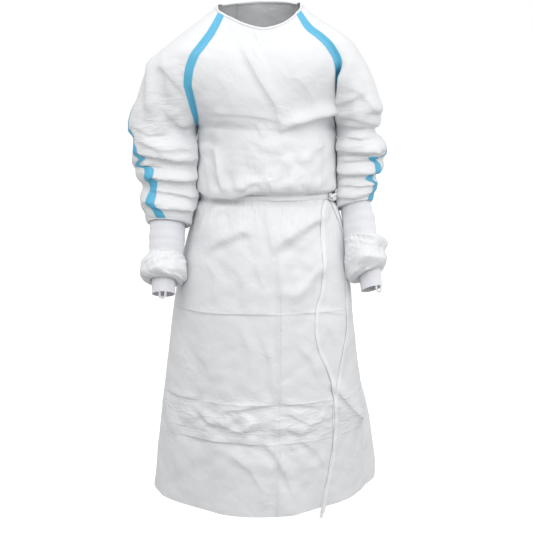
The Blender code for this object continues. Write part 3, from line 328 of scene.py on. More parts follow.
LEFT_SLEEVE = table(Section, 6, (
    (86, 3, 97, 12, 5, 42, -16, 5),
    (108, -32, 135, -18, 1, 73, -9, 10),
    (135, -59, 176, -42, 0, 94, -4, 12),
    (156, -88, 212, -71, 0, 105, 0, 12),
    (172, -118, 234, -104, 0, 108, 0, 16),
    (177, -151, 252, -141, 0, 106, 0, 28),
    (177, -185, 267, -182, 0, 100, 0, 42),
    (177, -217, 278, -216, 0, 94, 0, 55),
    (176, -246, 278, -245, 0, 88, 1, 68),
    (176, -273, 270, -274, 0, 80, 2, 90),
    (178, -297, 284, -295, -2, 77, 3, 90),
    (180, -325, 294, -323, -5, 74, 4, 90),
    (181, -352, 289, -350, -8, 70, 6, 90),
    (181, -378, 276, -376, -11, 65, 8, 90),
    (181, -403, 273, -398, -14, 62, 10, 90),
    (180, -428, 267, -418, -18, 58, 12, 90),
    (180, -446, 265, -431, -22, 53, 14, 90),
    (181, -458, 259, -440, -26, 47, 16, 90),
    (186, -453, 254, -435, -26, 42, 16, 90),
))
UNDERARM_ROW = 9
HEM_ROW = 18

RIGHT_BAND = table(Section, 6, (
    (-176, -527, -259, -520, -65, 41.5, 19, 90),
    (-179, -558, -258, -553, -76, 39, 20, 90),
))
RIGHT_PUFF = table(Section, 6, (
    (-175, -566, -266, -562, -78, 45, 20, 90),
    (-169, -583, -279, -581, -84, 53, 20, 90),
    (-168, -601, -279, -601, -91, 55, 21, 90),
    (-172, -618, -269, -620, -97, 47, 22, 90),
    (-186, -624, -259, -626, -100, 36, 23, 90),
    (-196, -614, -252, -614, -97, 27.5, 24, 90),
))
RIGHT_CUFF = table(Section, 6, [(-197, -646, -250, -646, -109, 26.5, 24, 90)])
LEFT_BAND = table(Section, 6, (
    (188, -491, 267, -479, -39, 41.2, 18, 90),
    (192, -524, 269, -513, -51, 39, 19, 90),
))
LEFT_PUFF = table(Section, 6, (
    (191, -533, 281, -520, -55, 45, 20, 90),
    (192, -556, 291, -541, -62, 53, 20, 90),
    (193, -587, 290, -570, -71, 54, 21, 90),
    (199, -616, 284, -595, -79, 47, 22, 90),
    (212, -625, 280, -601, -82, 35.5, 23, 90),
    (228, -613, 278, -593, -79, 26.5, 24, 90),
))
LEFT_CUFF = table(Section, 6, [(232, -642, 280, -631, -92, 25.5, 24, 90)])

# Where a sleeve's sealed seam runs, by row: its angle round the section, from the front (0)
# over the outer side (90) to the back (180). The sleeve is rucked up, so the seam zigzags.
RIGHT_SEAM_ANGLES = {
    4: 168, 5: 135, 6: 104, 7: 84, 8: 78, 9: 60, 9.6: 56, 10: 52, 10.6: 50, 11: 38, 11.3: 54,
    11.5: 60, 11.65: 32, 12: 27, 12.7: 36, 13: 29, 14: 30, 15: 32, 16: 17, 17: 12, 18: 13,
}
LEFT_SEAM_ANGLES = {
    4: 168, 5: 150, 6: 132, 7: 118, 8: 108, 9: 100, 10: 92, 11: 86, 11.3: 82, 11.55: 22,
    11.8: 24, 12.2: 42, 13: 48, 13.8: 30, 14.1: 58, 15: 58, 16: 60, 17: 58, 18: 58,
}


def section_values(sections, row):
    """Centre, outward half axis and front half axis of a sleeve section, and its open angle."""
    rows = np.arange(len(sections))
    at = {name: curve(rows, column(sections, name), row) for name in Section._fields}
    opened, tipped = np.radians(at["open"]), np.radians(at["lift"])
    outer = np.stack([at["outer_x"], at["middle_y"], at["outer_z"]], -1)
    inner = np.stack([at["inner_x"], at["middle_y"], at["inner_z"]], -1)
    outward = (outer - inner) / (1 + np.sin(opened))[..., None]
    front = np.stack([0 * tipped, -np.cos(tipped), np.sin(tipped)], -1) * at["half_depth"][..., None]
    return outer - outward, outward, front, opened


def section_point(sections, row, angle):
    """A point of a sleeve section: its centre, plus its front and outward half axes."""
    centre, outward, front, _ = section_values(sections, np.asarray(row, float))
    angle = np.asarray(angle)[..., None]
    return centre + front * np.cos(angle) + outward * np.sin(angle)


def raglan_end(sections, row, front):
    """Where a sleeve's section ends, at the front or the back raglan seam."""
    opened = section_values(sections, np.asarray(row, float))[3]
    return section_point(sections, row, -opened if front else math.pi + opened)


print("sleeve sections:", len(RIGHT_SLEEVE), "right,", len(LEFT_SLEEVE), "left")

# %% [markdown]
# ## Sleeves give way to the body
#
# The arms hang close to the body, so the sleeves are pressed against it. Points that would lie
# inside the body's tube are moved out along the line from its middle, softly, as cloth is.

# %% Cloth against cloth
ARM_CLEARANCE = 0.0012
PRESS_SOFTNESS = 0.015
PRESS_FADE = 0.025

# The largest folds, placed as seen from the front or the back: from (x0, z0) to (x1, z1),
# half as wide as width says on each side, and standing out by height, or in where negative.
Fold = namedtuple("Fold", "x0 z0 x1 z1 width height")
FRONT_FOLDS = table(Fold, 6, (
    (69, -249, 181, -220, 16, 6),  # chest blousing over, lower edge
    (60, -282, 182, -259, 20, -6),  # hollow under it
    (-124, -286, -102, -409, 18, -8),  # hollow beside the right sleeve
    (-97, -306, -80, -414, 12, 4),
    (99, -325, 109, -414, 14, 4),
    (133, -315, 144, -414, 14, -4),
    (-148, -483, -49, -523, 30, 4),  # hip, bulging over both thighs
    (50, -503, 149, -463, 30, 4),
    (137, -453, 131, -684, 16, -5),  # fall below the knot
    (169, -463, 197, -786, 22, 6),
    (61, -643, 150, -543, 22, 5),
    (-160, -684, -133, -1148, 30, -5),
    (168, -890, 250, -979, 16, 6),  # slanting fold to the left side
    (21, -1005, 77, -1148, 22, 4),
))
BACK_FOLDS = table(Fold, 6, (
    (-87, -286, -73, -414, 18, 5),
    (94, -277, 109, -414, 18, 5),
    (-128, -483, -154, -1148, 30, 8),
    (-68, -463, -82, -1148, 26, -6),
    (75, -463, 93, -1148, 26, -6),
    (139, -483, 170, -1148, 30, 8),
))
SLEEVE_FOLDS = {
    "right": table(Fold, 6, (
        (-253, -102, -251, -223, 14, 6),  # peak at the shoulder's corner
        (-232, -142, -216, -238, 16, -5),
        (-293, -286, -171, -330, 18, 5),
        (-294, -362, -151, -351, 12, -7),  # rolls at the elbow
        (-285, -384, -152, -376, 12, 5),
        (-285, -405, -157, -404, 11, -7),
        (-285, -435, -162, -443, 16, 5),
        (-286, -467, -167, -477, 10, -4),
    )),
    "left": table(Fold, 6, (
        (238, -113, 256, -223, 16, 4),
        (186, -238, 284, -214, 14, 5),
        (187, -278, 280, -271, 14, -7),  # rolls at the elbow
        (187, -308, 295, -304, 13, 5),
        (187, -335, 295, -341, 10, -6),
        (188, -362, 286, -358, 11, 5),
        (188, -388, 286, -380, 10, -6),
        (188, -418, 277, -404, 12, 4),
    )),
}


def fold_height(points, folds):
    """Folds as seen along Y: a soft ridge or trough along each line, tapering at its ends."""
    x, z = points[..., 0], points[..., 2]
    height = np.zeros(x.shape)
    for fold in folds:
        run_x, run_z = fold.x1 - fold.x0, fold.z1 - fold.z0
        length = math.hypot(run_x, run_z)
        along = ((x - fold.x0) * run_x + (z - fold.z0) * run_z) / length**2
        aside = ((x - fold.x0) * run_z - (z - fold.z0) * run_x) / length
        taper = ease((along + 0.15) / 0.3) * ease((1.15 - along) / 0.3)
        height += fold.height * taper * np.exp(-((aside / fold.width) ** 2))
    return height


def pressed_clear(points):
    """Moves a sleeve's points out of the body beside them, as cloth gives way to cloth."""
    x, y, z = points[..., 0], points[..., 1], points[..., 2]
    centre, half, front, back, square = ring_values(z)
    depth = np.where(y < 0, front, back)
    angle = np.arctan2(-y / depth, (x - centre) / half)
    plain = np.hypot((x - centre) / half, y / depth) / (1 + square * np.sin(2 * angle) ** 2)
    beside = np.stack([centre + (x - centre) / plain, y / plain, z], -1)
    folds = fold_height(beside, FRONT_FOLDS if np.mean(y) < 0 else BACK_FOLDS)
    share = plain / (1 + (ring_relief(angle, z) + np.maximum(folds, 0)) / half)
    least = 1 + ARM_CLEARANCE / np.minimum(half, depth)
    away = least + PRESS_SOFTNESS * np.log1p(np.exp(np.minimum((share - least) / PRESS_SOFTNESS, 60)))
    scale = 1 + ease((UNDERARM_Z - z) / PRESS_FADE) * (away / share - 1)
    return np.stack([centre + (x - centre) * scale, y * scale, z], -1)


print("large folds:", len(FRONT_FOLDS), "in front,", len(BACK_FOLDS), "behind")

# %% [markdown]
# ## Grids for the cut pieces
#
# Each piece is a grid: rows run down the cloth and columns run across it, evenly along the
# cloth, so that a crease is as finely drawn at the hem as at the chest. The first and last
# columns follow the seams, and four narrow ones beside them carry the seam tape.

# %% Front, back and sleeve grids
TAPE_HALF = 0.010  # half the width of the sealing tape
SLEEVE_TAPE_HALF = 0.0118
BACK_LAP = 0.055
LAP_OUT, LAP_IN, LAP_DRIFT = 0.0014, -0.0012, 0.06
EDGE_CELLS = 4  # cells across half a tape
FRONT_COLUMNS, BACK_COLUMNS, SLEEVE_COLUMNS = 146, 84, 128
STEPS = 9  # rows drawn for each row of the yoke's and the sleeves' tables
# Heights of the body's rows: closest at the belt and where sharp creases run across.
LEVEL_ENDS = (UNDERARM_Z, -0.370, -0.455, -0.668, -0.694, -0.868, -0.990, HEM_Z)
LEVEL_CELLS = (26, 34, 38, 14, 28, 54, 26)
SPANS = zip(LEVEL_ENDS, LEVEL_ENDS[1:], LEVEL_CELLS)
BODY_LEVELS = np.concatenate([np.linspace(top, end, cells + 1)[1:] for top, end, cells in SPANS])


def yoke_arc(right_end, left_end, middle, short_of_side, along, square):
    """The elliptical arc from one raglan seam to the other through its middle point.

    It spans from short_of_side to 180 degrees less that, and its half axes follow from the
    two ends and the middle.
    """
    ends_centre = (right_end + left_end) / 2
    across = (left_end - right_end) / 2 / math.cos(short_of_side)
    out = (middle - ends_centre) / (1 - math.sin(short_of_side))
    centre = ends_centre - out * math.sin(short_of_side)
    angle = math.pi - short_of_side - along * (math.pi - 2 * short_of_side)
    grow = 1 + square * np.sin(2 * math.pi * along) ** 2
    return centre + grow * (across * np.cos(angle) + out * np.sin(angle))


def yoke_row(row, along, front):
    """Points of one row between the raglan seams, along running from the wearer's right."""
    rows = np.arange(len(YOKE_ROWS))
    side = "front" if front else "back"
    y, z, angle = (
        float(curve(rows, column(YOKE_ROWS, f"{side}_{name}"), row)) for name in ("y", "z", "angle")
    )
    ring_centre, square = float(ring_values(UNDERARM_Z)[0]), float(ring_values(UNDERARM_Z)[4])
    share = row / UNDERARM_ROW
    middle = np.array([CENTRE_X + (ring_centre - CENTRE_X) * share, y, z])
    ends = [raglan_end(sleeve, row, front) for sleeve in (RIGHT_SLEEVE, LEFT_SLEEVE)]
    arc = yoke_arc(ends[0], ends[1], middle, math.radians(angle), along[:, None], square * ease(share))
    if front:
        point = np.maximum(1 - np.abs(arc[:, 0] - CENTRE_X) / NECK_V_HALF, 0)
        arc[:, 2] -= NECK_V_DIP * max(1 - row / NECK_V_ROWS, 0) * point
    return arc


FINE = np.linspace(0, 1, 161)  # shares at which a row's length is measured


def read_at(points_at, stops):
    """One row's points at given distances along it, where points_at takes shares of 0 to 1."""
    run = length_along(points_at(FINE))
    return points_at(np.interp(stops(run[-1]), run, FINE))


def body_rows(front):
    """Each row's own function of a share from the wearer's right side to the left."""
    yoke = np.arange(UNDERARM_ROW * STEPS) / STEPS
    rows = [lambda s, r=r: yoke_row(r, s, front) for r in yoke]
    turn = (lambda s: math.pi * (1 - s)) if front else (lambda s: math.pi * (1 + s))
    levels = (UNDERARM_Z, *BODY_LEVELS)
    return rows + [lambda s, z=z: body_ring(turn(s), np.full(s.shape, z)) for z in levels]


def spaced(start, stop, cells):
    """Evenly spaced stops, the last one left out."""
    return np.linspace(start, stop, cells, endpoint=False)


def front_grid():
    """The front: whole arcs, with narrow columns beside both side seams."""

    def stops(length):
        first, last = TAPE_HALF, length - TAPE_HALF
        middle = spaced(first, last, FRONT_COLUMNS - 2 * EDGE_CELLS)
        right_edge, left_edge = spaced(0, first, EDGE_CELLS), np.linspace(last, length, EDGE_CELLS + 1)
        return np.concatenate([right_edge, middle, left_edge])

    return np.array([read_at(row, stops) for row in body_rows(True)])


def back_grid(wearer_left):
    """A back panel: arcs from its side seam to its free edge past the centre back."""

    def stops(length):
        middle = np.linspace(TAPE_HALF, length / 2 + BACK_LAP, BACK_COLUMNS - EDGE_CELLS + 1)
        from_side = np.concatenate([spaced(0, TAPE_HALF, EDGE_CELLS), middle])
        return length - from_side[::-1] if wearer_left else from_side

    return np.array([read_at(row, stops) for row in body_rows(False)])


SLEEVE_ROWS = np.arange(HEM_ROW * STEPS + 1) / STEPS
# The first of the seam's own columns, and the cells from its last one to the tape at the edge.
SEAM_FIRST = EDGE_CELLS + (SLEEVE_COLUMNS - 4 * EDGE_CELLS) // 2
AFTER_SEAM = SLEEVE_COLUMNS - SEAM_FIRST - 3 * EDGE_CELLS


def sleeve_grid(sections, seam_angles):
    """A sleeve: sections from seam to seam, with narrow columns along its own sealed seam."""
    knots = sorted(seam_angles)
    seam_degrees = curve(knots, [seam_angles[k] for k in knots], SLEEVE_ROWS)
    rows = []
    for row, seam in zip(SLEEVE_ROWS, np.radians(seam_degrees)):
        opened = float(section_values(sections, np.array([row]))[3][0])

        def points_at(share, row=row, opened=opened):
            angle = -opened + share * (math.pi + 2 * opened)
            return section_point(sections, np.full(share.shape, row), angle)

        def stops(length, opened=opened, seam=seam, points_at=points_at):
            share = (seam + opened) / (math.pi + 2 * opened)
            middle = float(np.interp(share, FINE, length_along(points_at(FINE))))
            wide = min(SLEEVE_TAPE_HALF, length / 9)
            middle = min(max(middle, 3 * wide), length - 3 * wide)
            ends = (0, TAPE_HALF, middle - wide, middle + wide, length - TAPE_HALF)
            cells = (EDGE_CELLS, SEAM_FIRST - EDGE_CELLS, 2 * EDGE_CELLS, AFTER_SEAM)
            parts = [spaced(*part) for part in zip(ends, ends[1:], cells)]
            return np.concatenate([*parts, np.linspace(length - TAPE_HALF, length, EDGE_CELLS + 1)])

        rows.append(read_at(points_at, stops))
    return np.array(rows)


smooth = {
    "front": front_grid(),
    "back_right": back_grid(False),
    "back_left": back_grid(True),
    "sleeve_right": sleeve_grid(RIGHT_SLEEVE, RIGHT_SEAM_ANGLES),
    "sleeve_left": sleeve_grid(LEFT_SLEEVE, LEFT_SEAM_ANGLES),
}
UNDERARM_AT = UNDERARM_ROW * STEPS  # the panels' and the sleeves' row at the underarm
for name, grid in smooth.items():
    print(name, grid.shape[:2])

# %% [markdown]
# ## Joining the panels to the sleeves
#
# A raglan seam is one line in space that the sleeve and the panel share, so the panel takes
# the sleeve's own edge points and neither shows a gap.

# %% The raglan seams
for side, seam_column in (("right", 0), ("left", -1)):
    sleeve = smooth[f"sleeve_{side}"][: UNDERARM_AT + 1]
    smooth["front"][: UNDERARM_AT + 1, seam_column] = sleeve[:, 0]
    smooth[f"back_{side}"][: UNDERARM_AT + 1, seam_column] = sleeve[:, -1]
print("underarm:", np.round(smooth["front"][UNDERARM_AT, [0, -1]], 3).tolist())

# %% [markdown]
# ## Surfaces and walls
#
# Cloth has two sides. Each piece is a wall: the outer grid, the same grid moved in along its
# normals, and a rim round the open edges. Where two pieces meet, the normals are averaged over
# both, so that a seam shades as one surface.

# %% Faces, normals and walls
CLOTH = 0.0005  # the coated nonwoven's wall
KNIT = 0.0012
SHARP_ANGLE = 50  # degrees, above which an edge shades sharp

ARM_PIECES = ("sleeve", "forearm_band", "lower_sleeve", "cuff")
SIDES = ("right", "left")
FLIPPED = {"front": True, "back_right": False, "back_left": False}
FLIPPED |= {f"{piece}_{side}": side == "left" for piece in ARM_PIECES for side in SIDES}


def grid_faces(rows, columns, flipped):
    """Two triangles for each cell of a grid, wound to face outwards."""
    r, c = np.meshgrid(np.arange(rows - 1), np.arange(columns - 1), indexing="ij")
    a = (r * columns + c).ravel()
    b, d, e = a + 1, a + columns, a + columns + 1
    triangles = np.concatenate([np.stack([a, b, e], 1), np.stack([a, e, d], 1)])
    return triangles[:, ::-1] if flipped else triangles


def joined(points):
    """The first of each set of points at one place, and each point's own place among them."""
    keys = np.round(points.reshape(-1, 3) * 1e6).astype(np.int64)
    _, first, index = np.unique(keys, axis=0, return_index=True, return_inverse=True)
    return first, index.reshape(-1)


def shared_normals(grids):
    """Outward directions for every grid: the sum of the faces round a point, on all pieces.

    At the point of each underarm, where the body and the sleeve part, it is straight down.
    """
    points = np.concatenate([grid.reshape(-1, 3) for grid in grids.values()])
    _, index = joined(points)
    total = np.zeros((index.max() + 1, 3))
    start = 0
    for name, grid in grids.items():
        faces = grid_faces(grid.shape[0], grid.shape[1], FLIPPED[name]) + start
        corner = points[faces]
        face_normal = np.cross(corner[:, 1] - corner[:, 0], corner[:, 2] - corner[:, 0])
        for k in range(3):
            for axis in range(3):
                total[:, axis] += np.bincount(index[faces[:, k]], face_normal[:, axis], len(total))
        start += len(grid) * grid.shape[1]
    normals = unit(total)[index]
    for sleeve in (RIGHT_SLEEVE, LEFT_SLEEVE):
        underarm = np.array([sleeve[UNDERARM_ROW].inner_x, 0, UNDERARM_Z])
        normals[np.linalg.norm(points - underarm, axis=1) < 1e-5] = (0, 0, -1)
    found, start = {}, 0
    for name, grid in grids.items():
        size = len(grid) * grid.shape[1]
        found[name] = normals[start : start + size].reshape(grid.shape)
        start += size
    return found


def mesh_of(name, points, faces, corner_uv=None):
    """A mesh from arrays: points, faces of one size, and a UV place for each face corner."""
    mesh = bpy.data.meshes.new(name)
    mesh.vertices.add(len(points))
    mesh.vertices.foreach_set("co", np.asarray(points, np.float32).ravel())
    mesh.loops.add(faces.size)
    mesh.loops.foreach_set("vertex_index", faces.astype(np.int32).ravel())
    mesh.polygons.add(len(faces))
    mesh.polygons.foreach_set("loop_start", np.arange(0, faces.size, faces.shape[1], dtype=np.int32))
    mesh.update(calc_edges=True)
    if corner_uv is not None:
        layer = mesh.uv_layers.new(name="along_cloth")
        layer.uv.foreach_set("vector", np.asarray(corner_uv, np.float32).ravel())
    mesh.validate()
    mesh.shade_smooth()
    mesh.set_sharp_from_angle(angle=math.radians(SHARP_ANGLE))
    return mesh


def edges_of(faces):
    """The three directed edges of every triangle."""
    return np.concatenate([faces[:, [0, 1]], faces[:, [1, 2]], faces[:, [2, 0]]])


def wall_mesh(name, outer, inner, flipped, uv):
    """A closed wall between two grids of one shape, with a rim round its open edges."""
    first, index = joined(outer)
    grid_index = grid_faces(outer.shape[0], outer.shape[1], flipped)
    faces = index[grid_index]
    whole = (faces[:, 0] != faces[:, 1]) & (faces[:, 1] != faces[:, 2]) & (faces[:, 0] != faces[:, 2])
    faces, grid_index = faces[whole], grid_index[whole]
    count = len(first)
    points = np.concatenate([outer.reshape(-1, 3)[first], inner.reshape(-1, 3)[first]])
    ends, uv_ends = edges_of(faces), edges_of(grid_index)
    one_way, other_way = ends[:, 0] * count + ends[:, 1], ends[:, 1] * count + ends[:, 0]
    lone = ~np.isin(one_way, other_way)
    (a, b), (p, q) = ends[lone].T, uv_ends[lone].T
    rim = np.concatenate([np.stack([b, a, a + count], 1), np.stack([b, a + count, b + count], 1)])
    rim_uv = np.concatenate([np.stack([q, p, p], 1), np.stack([q, p, q], 1)])
    corners = np.concatenate([grid_index, grid_index[:, ::-1], rim_uv])
    everything = np.concatenate([faces, faces[:, ::-1] + count, rim])
    return mesh_of(name, points, everything, uv.reshape(-1, 2)[corners])


def row_runs(grid):
    """How far each point lies along its row."""
    steps = np.linalg.norm(np.diff(grid, axis=1), axis=2)
    return np.concatenate([np.zeros((len(grid), 1)), np.cumsum(steps, axis=1)], axis=1)


def cloth_uv(grid):
    """Where each point lies on the flat cloth, in metres: along its row and down the piece."""
    across = row_runs(grid)
    across = across - across[:, -1:] / 2
    down = np.cumsum(np.linalg.norm(np.diff(grid, axis=0), axis=2).mean(axis=1))
    down = np.concatenate([[0], down])[:, None] + 0 * across
    return np.stack([across, -down], -1)


smooth_normals = shared_normals(smooth)
print("points on the large pieces:", sum(grid.shape[0] * grid.shape[1] for grid in smooth.values()))

# %% [markdown]
# ## Creases listed one by one
#
# Coated nonwoven creases like paper: it keeps crisp lines from its packing, and pulls from the
# belt and the armholes. Each crease has a width and a height, how crisp its ridge is, and how
# far it leans, which gives it a hollow on one side. Then comes its line as seen from the front
# or the back. All lengths here are millimetres.

# %% The crease tables
Crease = namedtuple("Crease", "width height crisp lean path")


def creases(*rows):
    """Creases from rows: width, height, crisp, lean, and then x and z of each point, in order."""
    return tuple(Crease(*row[:4], np.reshape(row[4:], (-1, 2)) / 1000) for row in rows)


FRONT_CREASES = creases(
    # the chest: a long pull from the neck, packing lines and the lower edge of the blousing
    (11, 3, 0.6, 0.9, -46, -80, -6, -157, 34, -219, 51, -294),
    (8, 1.4, 0.7, -0.5, -30, -70, 4, -118, 18, -152),
    (5, 1.6, 1, 0.4, -12, -53, -6, -78),
    (4, 1.4, 1, 0.3, -26, -79, 4, -83),
    (5, 1.4, 1, 0.4, -19, -84, -6, -116),
    (6, 1.4, 0.9, 0.5, -120, -234, -57, -238, 3, -244, 72, -262),
    (10, 8, 0.6, 1.2, 46, -273, 80, -261, 111, -249, 158, -232, 185, -224),
    (6, 2, 0.8, 0.5, -8, -262, 4, -286),
    (16, 2.2, 0.3, 0.4, 78, -150, 110, -190, 128, -232),
    (18, 1.8, 0.2, 0.3, -100, -150, -70, -190, -62, -230),
    # the lower bodice
    (10, 4.8, 0.7, -1, -143, -306, -104, -315, -96, -351, -88, -412),
    (7, 2.6, 0.8, 0.6, -101, -328, -94, -375, -86, -412),
    (9, 2.8, 0.6, 0.5, -128, -340, -122, -385, -116, -414),
    (7, 2.8, 0.8, 0.8, -46, -412, -28, -394, -7, -386),
    (6, 2.2, 0.8, 0.5, 16, -380, 22, -396, 25, -412),
    (10, 2, 0.5, 0.4, -70, -352, -58, -386, -55, -412),
    (10, 2.6, 0.6, 0.6, 98, -275, 103, -335, 103, -410),
    (9, 2.8, 0.6, -0.7, 133, -284, 138, -345, 139, -410),
    (10, 1.8, 0.5, 0.5, 60, -330, 70, -372, 66, -410),
    (12, 1.6, 0.5, 0.6, -30, -290, 20, -318, 60, -322),
    (10, 2.2, 0.6, 0.6, 150, -300, 112, -318, 86, -346),
    # the hips, below the belt
    (10, 4.2, 0.8, 1, -84, -432, -126, -465, -142, -515),
    (11, 4.4, 0.8, 1.1, -119, -542, -80, -519, -39, -500, -20, -506),
    (10, 2.6, 0.6, 0.8, 18, -488, 26, -545),
    (11, 4.2, 0.8, 1.1, 34, -532, 88, -494, 138, -470),
    (10, 3, 0.7, -0.9, 137, -470, 88, -508, 32, -545),
    (12, 4.4, 0.7, 1, 148, -565, 107, -607, 66, -646),
    (9, 2.2, 0.6, 0.5, -40, -436, -58, -470, -60, -496),
    (9, 2, 0.6, 0.5, 20, -436, 12, -468, 18, -490),
    (9, 2.4, 0.6, 0.5, 100, -436, 78, -462, 70, -486),
    (10, 3.2, 0.6, -0.8, 158, -440, 146, -480, 150, -530, 140, -600),
    (12, 3, 0.5, 0.7, 176, -450, 186, -520, 190, -600, 200, -700),
    (12, 2.2, 0.5, 0.6, -126, -565, -103, -598, -106, -655),
    (12, 2, 0.4, 0.6, -57, -580, -35, -626, -46, -668),
    (9, 1.8, 0.6, 0.4, -13, -560, 4, -618),
    # packing folds: one down the middle and three across
    (7, 3, 1, 0.7, 41, -545, 42, -640, 40, -716, 41, -800, 39, -880),
    (7, 3, 1, 0.6, 39, -880, 34, -960, 37, -1012, 35, -1140),
    (6, 1.3, 1, 0.6, -188, -678, -143, -684, -60, -680, 8, -679, 40, -684),
    (6, 1.1, 1, 0.5, 78, -677, 112, -681, 151, -683, 209, -698),
    (6, 2, 1, 0.7, -222, -884, -180, -886, -137, -882),
    (7, 2.6, 1, 0.9, -88, -906, -24, -893, 36, -884),
    (6, 2.2, 1, 0.8, 44, -883, 89, -890, 135, -899),
    (7, 2.6, 0.9, 0.9, -186, -974, -150, -978, -109, -976, -47, -974, 12, -979),
    # wrinkles over the knees and the shins
    (10, 2.4, 0.7, 0.7, 3, -735, 21, -783, 26, -830, 29, -876),
    (12, 2.2, 0.6, 0.6, -163, -772, -127, -796, -110, -838),
    (12, 2, 0.5, 0.6, -46, -712, -24, -761, -28, -820),
    (11, 2.2, 0.6, 0.7, 77, -748, 116, -789, 132, -838),
    (9, 2.6, 0.8, 0.8, -104, -925, -58, -949, 0, -937),
    (8, 2.4, 0.8, 0.8, -150, -910, -118, -934, -84, -944),
    (9, 2.6, 0.8, 0.8, 64, -908, 112, -936, 164, -930),
    (8, 2.2, 0.8, 0.7, 52, -938, 92, -958, 128, -950),
    (8, 2.2, 0.8, -0.6, -40, -900, -20, -926, -36, -958),
    (10, 2.4, 0.7, 0.6, -72, -1000, -24, -1035, 4, -1083),
    (10, 3.4, 0.7, 0.9, 8, -972, 38, -1010, 58, -1054, 76, -1104),
    (9, 2.4, 0.7, -0.7, 40, -1010, 22, -1057, 12, -1120),
    (10, 2.4, 0.7, 0.6, 87, -968, 132, -1008, 150, -1050),
    (9, 2.6, 0.8, 0.6, -136, -860, -133, -910, -132, -962),
    (16, 2.6, 0.3, 0.5, -165, -1000, -150, -1060, -150, -1140),
    (16, 2.6, 0.3, 0.5, -210, -930, -196, -1000, -200, -1090),
    # the long slanting fold to the wearer's left side
    (10, 5.2, 0.7, 1, 160, -850, 195, -897, 228, -944, 256, -985),
    (10, 2.4, 0.6, -0.6, 186, -780, 190, -850, 202, -902),
    (12, 2.4, 0.5, 0.6, 150, -700, 172, -760, 176, -830),
)
BACK_CREASES = creases(
    (14, 2.6, 0.4, 0.8, -100, -90, -50, -150, -20, -225),
    (13, 2.6, 0.5, -0.8, 110, -80, 70, -140, 52, -215),
    (7, 1.8, 0.9, 0.7, -128, -220, -60, -238, 10, -240),
    (7, 1.8, 0.9, 0.7, 20, -244, 80, -246, 140, -232),
    (10, 3.8, 0.6, -0.9, -132, -290, -96, -330, -84, -408),
    (10, 3.8, 0.6, 0.9, 150, -285, 118, -330, 108, -408),
    (9, 2.6, 0.7, 0.7, -40, -412, -30, -372, -48, -330),
    (10, 2.6, 0.6, 0.7, 62, -412, 50, -366, 64, -318),
    (11, 3.4, 0.6, 0.8, -98, -436, -122, -480, -130, -560),
    (11, 3.4, 0.6, -0.8, 120, -436, 146, -480, 152, -570),
    (12, 2.8, 0.5, 0.6, -50, -436, -58, -520, -50, -610),
    (12, 2.8, 0.5, 0.6, 60, -436, 76, -510, 70, -600),
    (13, 2.6, 0.5, 0.9, -110, -540, -60, -570, -10, -556),
    (12, 2.8, 0.6, -0.8, 150, -590, 100, -620, 50, -640),
    (6, 1.4, 1, 0.6, -196, -682, -120, -679, -20, -684),
    (6, 1.4, 1, 0.6, 30, -682, 110, -678, 204, -686),
    (6, 2.2, 1, 0.8, -226, -886, -150, -890, -60, -884),
    (6, 2.2, 1, 0.8, 20, -892, 110, -884, 220, -892),
    (6, 2, 1, 0.6, -112, -460, -114, -660, -120, -880, -124, -1140),
    (6, 2, 1, -0.6, 128, -460, 132, -660, 134, -880, 140, -1140),
    (12, 2.4, 0.6, 0.6, -90, -740, -130, -800, -128, -868),
    (12, 2.4, 0.6, 0.6, 70, -730, 100, -790, 92, -860),
    (9, 2.6, 0.8, 0.8, -160, -925, -100, -952, -40, -940),
    (9, 2.6, 0.8, 0.8, 50, -930, 110, -956, 180, -942),
    (11, 2.8, 0.6, 0.7, -60, -980, -90, -1040, -80, -1130),
    (11, 2.8, 0.6, -0.7, 80, -985, 60, -1050, 72, -1130),
    (14, 3, 0.5, 0.6, 190, -980, 172, -1050, 180, -1130),
)
